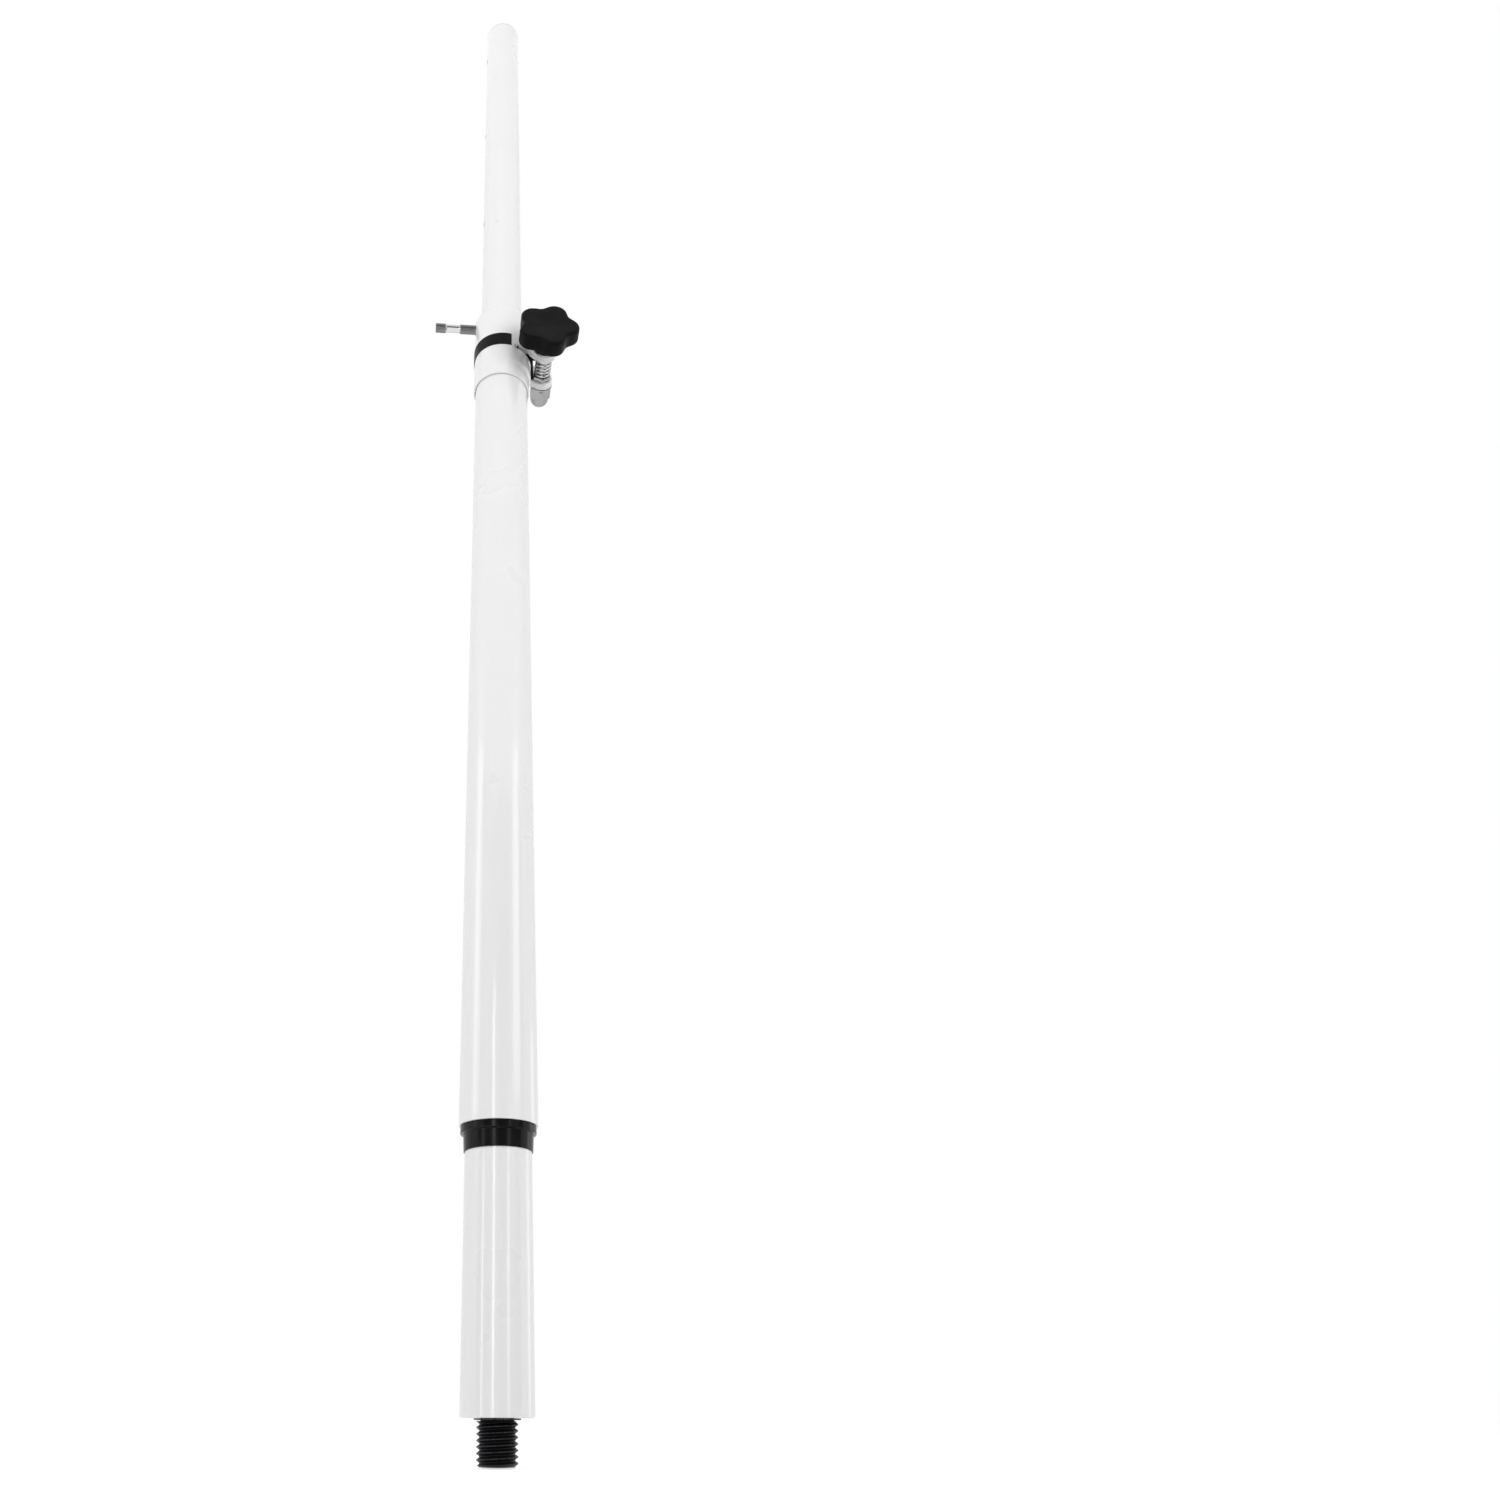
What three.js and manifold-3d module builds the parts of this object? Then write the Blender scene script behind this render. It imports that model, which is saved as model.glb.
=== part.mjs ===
// Speaker pole: a threaded stud and lower tube carry an outer tube, and a mast slides in it under a clamp.
// Millimetres. +Z runs up the pole, the ears point to +X, the knob to -Y and the locking pin to -X.
// The origin is the middle of the lower tube's bottom face.

import * as THREE from 'three';
import { mergeVertices, toCreasedNormals } from 'three/addons/utils/BufferGeometryUtils.js';
import Module from 'manifold-3d';

const wasm = await Module();
wasm.setup();

// Clearances and meshing
const fit = 0.3; // gap round a piece that sits in another
const snug = 0.15; // gap of a plastic ring round a tube
const seat = 0.1; // gap between flat faces that rest on each other
const overrun = 1; // how far a cutter passes the faces that it cuts
const weld = 1e-4; // points closer than this are one point
const tubeSides = 48;
const boreSides = 16;
const arcSteps = 4;

// Threaded stud, its washer and the plug that holds it
const studR = 9.9;
const studPitch = 2.5;
const studThreadDepth = 1.35;
const studLength = 19;
const studTipBevel = 1.2;
const studStartShare = 0.4;
const studShankR = 8;
const studSides = 32;
const studWasherR = 11.2;
const studWasherT = 0.8;
const plugHeight = 26;
const rollPinR = 2;
const rollPinUp = 14;
const flatShare = 0.12;
const rowsPerTurn = 6;

// Lower tube, outer tube and mast
const lowerR = 18;
const lowerWall = 2;
const lowerLength = 241;
const outerR = 21.5;
const outerWall = 1.5;
const outerFromZ = 130.6;
const outerLength = 613.6;
const mastR = 17.5;
const mastWall = 2;
const mastLength = 603;
const holePitch = 152.4;

// Reducer bush under the outer tube
const bushNeckR = 18.55;
const bushBodyR = 18.95;
const bushLipR = 20.5;
const bushHeight = 13;
const bushLipHeight = 4;
const bushPlugHeight = 30;
const bushEdge = 0.5;
const lipScrewR = 1.3;
const lipScrewLength = 1.7;
const lipScrewTurn = THREE.MathUtils.degToRad(-95);

// Guide ring and landing buffer on the lower tube
const guideRingHeight = 16;
const guideRingDown = 12;
const bufferLip = 5;
const bufferPlug = 12;
const bufferWall = 3.5;

// Guide bush, rivets and end cap of the mast
const mastGuideHeight = 40;
const mastGuideFloor = 2;
const mastGuideFloorR = 13;
const mastGuideBevel = 1;
const rivetShankR = 1.8;
const rivetHeadR = 3.2;
const rivetHeadT = 1;
const rivetSink = 1.2;
const capFlange = 2.5;
const capPlug = 14;
const capWall = 2.5;
const capRound = 1.2;

// Screws through the outer tube
const tubeScrewR = 2;
const tubeScrewUp = 15;
const tubeScrewHeadR = 3.6;
const tubeScrewHeadT = 1.8;
const tubeScrewTurns = [THREE.MathUtils.degToRad(45), THREE.MathUtils.degToRad(135)];
const collarScrewUp = 9;

// Clamp collar
const collarR = 23;
const collarLength = 89;
const collarRound = 4;
const collarFoot = 0.5;
const tubeSeat = 31.2;
const collarStep = 3.2;
const collarLip = 3.6;
const collarEase = 0.5;
const shoulderUp = 15;
const shoulderRise = 3;
const shoulderShift = 1.8;
const kerfHeight = 4.5;
const kerfStart = THREE.MathUtils.degToRad(24 - 90);
const jawGap = 22.4;

// Clamp liner
const linerWall = 1.3;
const linerLugReach = 28;
const linerLugT = 2.5;
const linerSlit = 8;

// Ears and bolt
const boltX = 35.6;
const boltRise = -1.3; // from the kerf's top to the bolt's axis
const boltR = 5;
const boltBevel = 0.8;
const boltShankR = 4.45;
const boltShankFromY = -9.5;
const boltShankToY = 4.5;
const boltInKnob = 17;
const boltInNut = 13;
const earR = 9.3;
const earT = 6.2;
const earHeelX = 24.6;
const earHeelDown = 3.5;
const earNotchX = 21.4;
const earRootX = 14;
const earRootUp = 26;

// Washers, inner nut, spring and cap nut
const washerR = 9.5;
const washerT = 1.6;
const innerNutAcross = 14;
const innerNutT = 4;
const innerNutNeck = 0.7;
const springWireR = 0.9;
const springTurns = 4.6;
const springSteps = 20;
const springSides = 6;
const nutAcross = 17;
const nutHexT = 10.5;
const nutDomeR = 7.8;
const nutDomeH = 11.5;
const nutNeck = 1;

// Star knob and its insert
const knobR = 26;
const knobDip = 5;
const knobLobes = 5;
const lobeSteps = 14;
const dipShapeShare = 1.3;
const knobT = 14;
const knobEdge = 2;
const knobHubR = 12;
const knobHubT = 11;
const knobTurn = THREE.MathUtils.degToRad(-4);
const insertR = 7.5;
const insertT = 18;
const insertSink = 0.5;

// Label band
const labelRise = 1; // from the kerf's foot to the label's lower edge
const labelHeight = 14.2;
const labelT = 0.35;
const labelEnd = THREE.MathUtils.degToRad(16.7 - 90);
const labelSweep = THREE.MathUtils.degToRad(118);

// Locking pin
const pinR = 4;
const pinWaistR = 3.4;
const pinDown = 7.5; // from the collar's top to the pin's axis
const pinReach = 57.5;
const pinEnd = 8.8;
const pinWaist = 12.3;
const pinBevel = 0.6;
const pinTipGap = 0.5;

// Radii that follow
const lowerBore = lowerR - lowerWall;
const outerBore = outerR - outerWall;
const mastBore = mastR - mastWall;
const bushBore = lowerR + snug;
const sleeveR = outerBore - fit;
const linerBore = mastR + fit;
const linerR = linerBore + linerWall;
const collarBore = linerR + fit;
const jawHalf = jawGap / 2;
const earOuterY = jawHalf + earT;

// Heights that follow
const bushZ = outerFromZ - bushHeight;
const outerTopZ = outerFromZ + outerLength;
const collarZ = outerTopZ - tubeSeat;
const stepUp = tubeSeat + fit;
const kerfUp = stepUp + collarStep;
const kerfTop = kerfUp + kerfHeight;
const boltUp = kerfTop + boltRise;
const boltZ = collarZ + boltUp;
const pinUp = collarLength - pinDown;
const pinZ = collarZ + pinUp;
const labelUp = kerfUp + labelRise;
const mastZ = outerTopZ - mastGuideHeight;
const mastTubeUp = mastGuideFloor + seat;

// Pin holes: as many pitches as the mast can sink, and as its length above the collar takes
const firstHole = pinZ - mastZ - mastTubeUp;
const sinkRoom = mastZ - lowerLength - bufferLip;
const holeRoom = mastLength - firstHole - pinR - capPlug;
const holeSteps = Math.floor(Math.min(sinkRoom, holeRoom) / holePitch);

// Finishes
const whiteCoat = new THREE.MeshStandardMaterial({ color: 0xf1f1ef, roughness: 0.28, metalness: 0 });
const blackPlastic = new THREE.MeshStandardMaterial({ color: 0x1b1b1c, roughness: 0.5, metalness: 0 });
const blackSteel = new THREE.MeshStandardMaterial({ color: 0x1c1c1e, roughness: 0.35, metalness: 0.8 });
const zincSteel = new THREE.MeshStandardMaterial({ color: 0xb4b6b8, roughness: 0.35, metalness: 1 });
const brightSteel = new THREE.MeshStandardMaterial({ color: 0xc9cacb, roughness: 0.15, metalness: 1 });
const brass = new THREE.MeshStandardMaterial({ color: 0xb08d4a, roughness: 0.35, metalness: 1 });
const rubber = new THREE.MeshStandardMaterial({ color: 0x161616, roughness: 0.85, metalness: 0 });
const labelBlack = new THREE.MeshStandardMaterial({ color: 0x141414, roughness: 0.35, metalness: 0 });

// A closed geometry as a solid that can be joined and cut
function solidOf(geometry) {
  const bare = new THREE.BufferGeometry();
  bare.setAttribute('position', geometry.getAttribute('position'));
  bare.setIndex(geometry.index);
  const merged = mergeVertices(bare, weld);
  const corners = merged.index.array;
  const kept = [];
  for (let i = 0; i < corners.length; i += 3) {
    const [a, b, c] = corners.slice(i, i + 3);
    if (a !== b && b !== c && c !== a) kept.push(a, b, c);
  }
  const mesh = new wasm.Mesh({
    numProp: 3,
    vertProperties: new Float32Array(merged.getAttribute('position').array),
    triVerts: new Uint32Array(kept),
  });
  return new wasm.Manifold(mesh);
}

// A closed outline of [radius, height] points turned about the local Z axis
function turned(outline, sides = tubeSides, place = new THREE.Matrix4()) {
  const points = outline.map(([r, z]) => new THREE.Vector2(r, z));
  if (THREE.ShapeUtils.area(points) < 0) points.reverse();
  points.push(points[0].clone());
  const geometry = new THREE.LatheGeometry(points, sides);
  geometry.rotateX(Math.PI / 2);
  geometry.applyMatrix4(place);
  return solidOf(geometry);
}

function ring(innerR, outR, fromZ, toZ, sides) {
  return turned([[innerR, fromZ], [outR, fromZ], [outR, toZ], [innerR, toZ]], sides);
}

function rod(r, fromZ, toZ, sides = boreSides, place) {
  return turned([[0, fromZ], [r, fromZ], [r, toZ], [0, toZ]], sides, place);
}

// A rod with both ends bevelled
function pinRod(r, bevel, fromZ, toZ, sides = boreSides) {
  const outline = [[0, fromZ], [r - bevel, fromZ], [r, fromZ + bevel]];
  outline.push([r, toZ - bevel], [r - bevel, toZ], [0, toZ]);
  return turned(outline, sides);
}

// A quarter round from the side of a cylinder of radius r to its top
function topRound(r, top, round) {
  const points = [];
  for (let i = 0; i <= arcSteps; i += 1) {
    const a = (i / arcSteps) * (Math.PI / 2);
    points.push([r - round + round * Math.cos(a), top - round + round * Math.sin(a)]);
  }
  return points;
}

// Turns the local Z axis outwards from the pole at an angle from +X, at a height
function outwards(angle, z) {
  const place = new THREE.Matrix4().makeTranslation(0, 0, z);
  place.multiply(new THREE.Matrix4().makeRotationZ(angle));
  return place.multiply(new THREE.Matrix4().makeRotationY(Math.PI / 2));
}

// Turns the local Z axis to +Y, through a point
function towardsY(x, z) {
  const place = new THREE.Matrix4().makeTranslation(x, 0, z);
  return place.multiply(new THREE.Matrix4().makeRotationX(-Math.PI / 2));
}

function block(fromX, toX, fromY, toY, fromZ, toZ) {
  const geometry = new THREE.BoxGeometry(toX - fromX, toY - fromY, toZ - fromZ);
  geometry.translate((fromX + toX) / 2, (fromY + toY) / 2, (fromZ + toZ) / 2);
  return solidOf(geometry);
}

// A pie slice about the Z axis
function slice(r, fromAngle, sweep, fromZ, toZ) {
  const shape = new THREE.Shape();
  shape.moveTo(0, 0);
  shape.absarc(0, 0, r, fromAngle, fromAngle + sweep, false);
  const geometry = new THREE.ExtrudeGeometry(shape, {
    depth: toZ - fromZ, bevelEnabled: false, curveSegments: boreSides,
  });
  geometry.translate(0, 0, fromZ);
  return solidOf(geometry);
}

function joined(...solids) {
  return solids.reduce((all, one) => all.add(one));
}

function cutBy(solid, ...cutters) {
  return cutters.reduce((left, cutter) => left.subtract(cutter), solid);
}

function meshOf(name, solid, material) {
  const { vertProperties, triVerts } = solid.getMesh();
  const geometry = new THREE.BufferGeometry();
  geometry.setAttribute('position', new THREE.BufferAttribute(vertProperties, 3));
  geometry.setIndex(new THREE.BufferAttribute(triVerts, 1));
  const mesh = new THREE.Mesh(toCreasedNormals(geometry, Math.PI / 6), material);
  mesh.name = name;
  return mesh;
}

// A group of meshes at a place
function groupAt(x, y, z, ...meshes) {
  const group = new THREE.Group();
  group.position.set(x, y, z);
  group.add(...meshes);
  return group;
}

// Threaded rod from its bevelled tip up: the radius follows a ramp wave of height and angle
function threadedRod(crestR, depth, pitch, length, bevel, sides) {
  const rows = Math.round((length / pitch) * rowsPerTurn);
  const position = [];
  for (let i = 0; i <= rows; i += 1) {
    const z = (length * i) / rows;
    for (let j = 0; j < sides; j += 1) {
      const turn = j / sides;
      const phase = (z / pitch - turn + studStartShare + 1) % 1;
      const ramp = 1 - Math.abs(2 * phase - 1);
      const dip = THREE.MathUtils.clamp((ramp - flatShare) / (1 - 2 * flatShare), 0, 1);
      const r = Math.min(crestR - depth * dip, crestR - bevel + z);
      position.push(r * Math.cos(turn * 2 * Math.PI), r * Math.sin(turn * 2 * Math.PI), z);
    }
  }
  position.push(0, 0, 0, 0, 0, length);
  const foot = (rows + 1) * sides;
  const index = [];
  for (let j = 0; j < sides; j += 1) {
    const next = (j + 1) % sides;
    for (let i = 0; i < rows; i += 1) {
      const a = i * sides;
      const b = a + sides;
      index.push(a + j, a + next, b + j, a + next, b + next, b + j);
    }
    index.push(foot, next, j, foot + 1, rows * sides + j, rows * sides + next);
  }
  const geometry = new THREE.BufferGeometry();
  geometry.setAttribute('position', new THREE.Float32BufferAttribute(position, 3));
  geometry.setIndex(index);
  return solidOf(geometry);
}

// Stud, washer, plug and roll pin at the pole's foot
function footPieces() {
  const threadLength = studLength - studWasherT - fit;
  const crossHole = rod(rollPinR + fit, -lowerR, lowerR, boreSides, outwards(0, rollPinUp));
  const thread = threadedRod(studR, studThreadDepth, studPitch, threadLength, studTipBevel, studSides);
  const shank = rod(studShankR, threadLength - overrun, studLength + plugHeight - fit);
  const stud = joined(thread, shank);
  const studHole = rod(rollPinR + fit, -lowerR, lowerR, boreSides, outwards(0, studLength + rollPinUp));
  const washer = ring(studShankR + fit, studWasherR, 0, studWasherT - seat);
  const plug = cutBy(ring(studShankR + fit, lowerBore - fit, 0, plugHeight), crossHole);
  const rollPin = pinRod(rollPinR, fit, fit - lowerBore + fit, lowerBore - fit - fit);
  const rollPinMesh = meshOf('stud_roll_pin', rollPin, zincSteel);
  rollPinMesh.rotation.y = Math.PI / 2;
  rollPinMesh.position.z = rollPinUp;
  return [
    groupAt(0, 0, -studLength, meshOf('threaded_stud', cutBy(stud, studHole), blackSteel)),
    groupAt(0, 0, -studWasherT, meshOf('stud_washer', washer, blackSteel)),
    meshOf('bottom_plug', plug, whiteCoat),
    rollPinMesh,
  ];
}

// Lower tube with its guide ring and landing buffer
function lowerTubePieces() {
  const tube = ring(lowerBore, lowerR, 0, lowerLength);
  const guideRing = ring(bushBore, sleeveR, 0, guideRingHeight);
  const plugR = lowerBore - fit;
  const buffer = turned([
    [plugR - bufferWall, -bufferPlug], [plugR, -bufferPlug], [plugR, seat],
    [lowerR, seat], ...topRound(lowerR, bufferLip, bufferWall / 2), [plugR - bufferWall, bufferLip],
  ]);
  return [
    meshOf('lower_tube', tube, whiteCoat),
    groupAt(0, 0, lowerLength - guideRingDown - guideRingHeight,
      meshOf('lower_guide_ring', guideRing, blackPlastic)),
    groupAt(0, 0, lowerLength, meshOf('landing_buffer', buffer, rubber)),
  ];
}

// Reducer bush with the set screw in its lip
function bushPieces() {
  const lipFrom = bushHeight - bushLipHeight;
  const top = bushHeight + bushPlugHeight;
  const lipScrewZ = lipFrom + bushLipHeight / 2;
  const body = turned([
    [bushBore, 0], [bushNeckR, 0], [bushBodyR, lipFrom], [bushLipR - bushEdge, lipFrom],
    [bushLipR, lipFrom + bushEdge], [bushLipR, bushHeight - seat], [sleeveR, bushHeight - seat],
    [sleeveR, top], [bushBore, top],
  ]);
  const holes = tubeScrewTurns.map((turn) => (
    rod(tubeScrewR + fit, lowerR, outerR, boreSides, outwards(turn, bushHeight + tubeScrewUp))
  ));
  const lipHole = rod(lipScrewR + fit, lowerR - overrun, outerR, boreSides, outwards(lipScrewTurn, lipScrewZ));
  const screw = pinRod(lipScrewR, snug, 0, lipScrewLength);
  const screwMesh = meshOf('bush_lip_screw', screw, blackSteel);
  screwMesh.applyMatrix4(outwards(lipScrewTurn, lipScrewZ));
  screwMesh.translateZ(bushLipR - fit - lipScrewLength);
  return groupAt(0, 0, bushZ, meshOf('reducer_bush', cutBy(body, ...holes, lipHole), blackPlastic), screwMesh);
}

// Outer tube with holes for the screws of the bush and of the collar
function outerTube() {
  const upper = outerLength - tubeSeat + collarScrewUp;
  const holes = tubeScrewTurns.flatMap((turn) => [tubeScrewUp, upper].map((z) => (
    rod(tubeScrewR + fit, mastR, outerR + overrun, boreSides, outwards(turn, z))
  )));
  return groupAt(0, 0, outerFromZ,
    meshOf('outer_tube', cutBy(ring(outerBore, outerR, 0, outerLength), ...holes), whiteCoat));
}

// A button-head screw whose head rests on a surface of radius surfaceR and whose tip stops at tipR
function tubeScrew(name, turn, z, surfaceR, tipR) {
  const head = surfaceR + seat;
  const headTop = head + tubeScrewHeadT;
  const outline = [[0, tipR], [tubeScrewR, tipR], [tubeScrewR, head], [tubeScrewHeadR, head]];
  const crown = topRound(tubeScrewHeadR, headTop, tubeScrewHeadT / 2);
  const mesh = meshOf(name, turned([...outline, ...crown, [0, headTop]], boreSides), zincSteel);
  mesh.applyMatrix4(outwards(turn, z));
  return mesh;
}

function tubeScrews() {
  return tubeScrewTurns.flatMap((turn, i) => [
    tubeScrew(`bush_screw_${i + 1}`, turn, outerFromZ + tubeScrewUp, outerR, bushBore + fit),
    tubeScrew(`collar_screw_${i + 1}`, turn, collarZ + collarScrewUp, collarR, outerBore + seat),
  ]);
}

// Round body of the collar: a cylinder, and from the shoulder up a second one moved towards the ears
function collarBody(grow) {
  const r = collarR + grow;
  const plain = turned([
    [0, 0], [r - collarFoot, 0], [r, collarFoot], ...topRound(r, collarLength, collarRound), [0, collarLength],
  ]);
  const shoulder = turned([
    [0, shoulderUp], [r - shoulderRise, shoulderUp], [r, shoulderUp + shoulderRise],
    ...topRound(r, collarLength, collarRound), [0, collarLength],
  ], tubeSides, new THREE.Matrix4().makeTranslation(shoulderShift, 0, 0));
  return joined(plain, shoulder);
}

// Where the line from a point touches the boss of an ear, below the boss or above it
function bossTouch(x, z, side) {
  const away = new THREE.Vector2(boltX - x, boltUp - z);
  const along = Math.sqrt(away.lengthSq() - earR * earR);
  const angle = away.angle() + side * Math.asin(earR / away.length());
  return new THREE.Vector2(x + along * Math.cos(angle), z + along * Math.sin(angle));
}

// An ear as a plate in the X-Z plane: a round boss at the bolt, a heel below and a slope up to the root
function ear(nearY, footPoints) {
  const heelZ = boltUp - earHeelDown;
  const rootZ = boltUp + earRootUp;
  const low = bossTouch(earHeelX, heelZ, -1);
  const high = bossTouch(earRootX, rootZ, 1);
  const shape = new THREE.Shape();
  shape.moveTo(...footPoints[0]);
  footPoints.slice(1).forEach((point) => shape.lineTo(...point));
  shape.lineTo(earHeelX, heelZ);
  const lowAngle = Math.atan2(low.y - boltUp, low.x - boltX);
  const highAngle = Math.atan2(high.y - boltUp, high.x - boltX);
  shape.absarc(boltX, boltUp, earR, lowAngle, highAngle, false);
  shape.lineTo(earRootX, rootZ);
  const geometry = new THREE.ExtrudeGeometry(shape, { depth: earT, bevelEnabled: false, curveSegments: boreSides });
  geometry.rotateX(Math.PI / 2);
  geometry.translate(0, nearY, 0);
  return solidOf(geometry);
}

// Clamp collar: fixed round the outer tube below, split above, with the jaw on the knob's side cut free
function clampCollar() {
  const heelZ = boltUp - earHeelDown;
  const nearEar = ear(-jawHalf, [[earRootX, kerfTop], [earNotchX, kerfTop]]);
  const farEar = ear(earOuterY, [[earRootX, heelZ]]);
  const lipR = mastR + collarEase;
  const tubeBore = outerR + fit;
  const bore = turned([
    [0, -overrun], [tubeBore, -overrun], [tubeBore, stepUp], [collarBore, stepUp],
    [collarBore, collarLength - collarLip], [lipR, collarLength - collarLip],
    [lipR, collarLength + overrun], [0, collarLength + overrun],
  ]);
  const slit = block(0, boltX, -jawHalf, jawHalf, kerfUp, collarLength + overrun);
  const kerf = slice(collarR + shoulderShift + seat, kerfStart, -kerfStart, kerfUp, kerfTop);
  const pinHole = rod(pinR + fit, 0, pinReach, boreSides, outwards(Math.PI, pinUp));
  const boltHole = rod(boltR + fit, -boltX, boltX, boreSides, towardsY(boltX, boltUp));
  const screwHoles = tubeScrewTurns.map((turn) => (
    rod(tubeScrewR + fit, outerR, collarR + overrun, boreSides, outwards(turn, collarScrewUp))
  ));
  const whole = joined(collarBody(0), nearEar, farEar);
  return meshOf('clamp_collar', cutBy(whole, bore, slit, kerf, pinHole, boltHole, ...screwHoles), whiteCoat);
}

// Clamp liner: a split plastic sleeve with two lugs that line the jaws' faces
function clampLiner() {
  const top = collarLength - collarLip - fit;
  const foot = kerfUp + fit;
  const lugOuter = jawHalf - fit;
  const lugInner = lugOuter - linerLugT;
  const lugTop = collarLength - collarRound;
  const lugs = [-1, 1].map((side) => {
    const edges = [side * lugInner, side * lugOuter].sort((a, b) => a - b);
    return block(earRootX, linerLugReach, edges[0], edges[1], foot, lugTop);
  });
  const sleeve = ring(linerBore, linerR, stepUp + fit, top);
  const mastWay = rod(linerBore, 0, collarLength, tubeSides);
  const slit = block(0, linerLugReach + overrun, -linerSlit / 2, linerSlit / 2, 0, collarLength);
  const pinHole = rod(pinR + fit, 0, pinReach, boreSides, outwards(Math.PI, pinUp));
  const solid = cutBy(joined(sleeve, ...lugs.map((lug) => cutBy(lug, mastWay))), slit, pinHole);
  return meshOf('clamp_liner', solid, blackPlastic);
}

// Label band: a thin skin on the collar's round body
function labelBand() {
  const skin = cutBy(collarBody(seat + labelT), collarBody(seat));
  const window = slice(collarR + shoulderShift + boltR, labelEnd - labelSweep, labelSweep,
    labelUp, labelUp + labelHeight);
  return meshOf('label_band', skin.intersect(window), labelBlack);
}

function collarPieces() {
  return groupAt(0, 0, collarZ, clampCollar(), clampLiner(), labelBand());
}

// A hexagon standing on the local XY plane with its corners bevelled at both ends
function hexBlank(across, thickness, neck) {
  const cornerR = across / Math.sqrt(3);
  const hex = turned([[0, 0], [cornerR, 0], [cornerR, thickness], [0, thickness]], 6);
  const corners = turned([
    [0, 0], [across / 2, 0], [cornerR, neck], [cornerR, thickness - neck], [across / 2, thickness], [0, thickness],
  ], boreSides);
  return hex.intersect(corners);
}

// A wire wound about the Z axis: its middle line rises from fromZ to toZ, and flat faces close its ends
function coil(coilR, wireR, fromZ, toZ, turns) {
  const rows = Math.round(turns * springSteps);
  const position = [];
  const index = [];
  for (let i = 0; i <= rows; i += 1) {
    const a = (i / springSteps) * 2 * Math.PI;
    const z = fromZ + ((toZ - fromZ) * i) / rows;
    for (let j = 0; j < springSides; j += 1) {
      const t = (j / springSides) * 2 * Math.PI;
      const r = coilR + wireR * Math.cos(t);
      position.push(r * Math.cos(a), r * Math.sin(a), z + wireR * Math.sin(t));
      const here = i * springSides + j;
      const next = i * springSides + ((j + 1) % springSides);
      if (i < rows) index.push(here, here + springSides, next, next, here + springSides, next + springSides);
    }
  }
  for (let j = 1; j < springSides - 1; j += 1) {
    const last = rows * springSides;
    index.push(0, j, j + 1, last, last + j + 1, last + j);
  }
  const geometry = new THREE.BufferGeometry();
  geometry.setAttribute('position', new THREE.Float32BufferAttribute(position, 3));
  geometry.setIndex(index);
  return solidOf(geometry);
}

// Bolt, nuts, spring and washers on the ears, built along the bolt's axis
function boltPieces() {
  const washer = () => ring(boltR + fit, washerR, 0, washerT);
  const onEar = earOuterY + seat;
  const pastWasher = onEar + washerT + seat;
  const foot = -pastWasher - boltInKnob;
  const end = pastWasher + boltInNut;
  const bolt = turned([
    [0, foot], [boltR - boltBevel, foot], [boltR, foot + boltBevel], [boltR, boltShankFromY],
    [boltShankR, boltShankFromY], [boltShankR, boltShankToY], [boltR, boltShankToY],
    [boltR, end - boltBevel], [boltR - boltBevel, end], [0, end],
  ], boreSides);
  const innerNut = cutBy(hexBlank(innerNutAcross, innerNutT, innerNutNeck),
    rod(boltR + fit, -overrun, innerNutT + overrun));
  const innerNutY = jawHalf - seat - innerNutT;
  const fromEar = seat + springWireR;
  const spring = coil(boltR + fit + springWireR, springWireR, fromEar - jawHalf, innerNutY - fromEar, springTurns);
  const domeFoot = nutHexT - nutNeck;
  const domeTop = topRound(nutDomeR, nutHexT + nutDomeH, nutDomeR);
  const dome = turned([[0, domeFoot], [nutDomeR, domeFoot], ...domeTop], boreSides);
  const blank = hexBlank(nutAcross, nutHexT, nutNeck);
  const nut = cutBy(joined(blank, dome), rod(boltR + fit, -overrun, boltInNut + fit));
  const group = groupAt(boltX, 0, boltZ,
    meshOf('clamp_bolt', bolt, zincSteel),
    meshOf('jaw_spring', spring, brightSteel),
    groupAt(0, 0, innerNutY, meshOf('inner_nut', innerNut, zincSteel)),
    groupAt(0, 0, onEar, meshOf('nut_washer', washer(), zincSteel)),
    groupAt(0, 0, pastWasher, meshOf('cap_nut', nut, zincSteel)),
    groupAt(0, 0, -onEar - washerT, meshOf('knob_washer', washer(), zincSteel)));
  group.rotation.x = -Math.PI / 2;
  return group;
}

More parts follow.
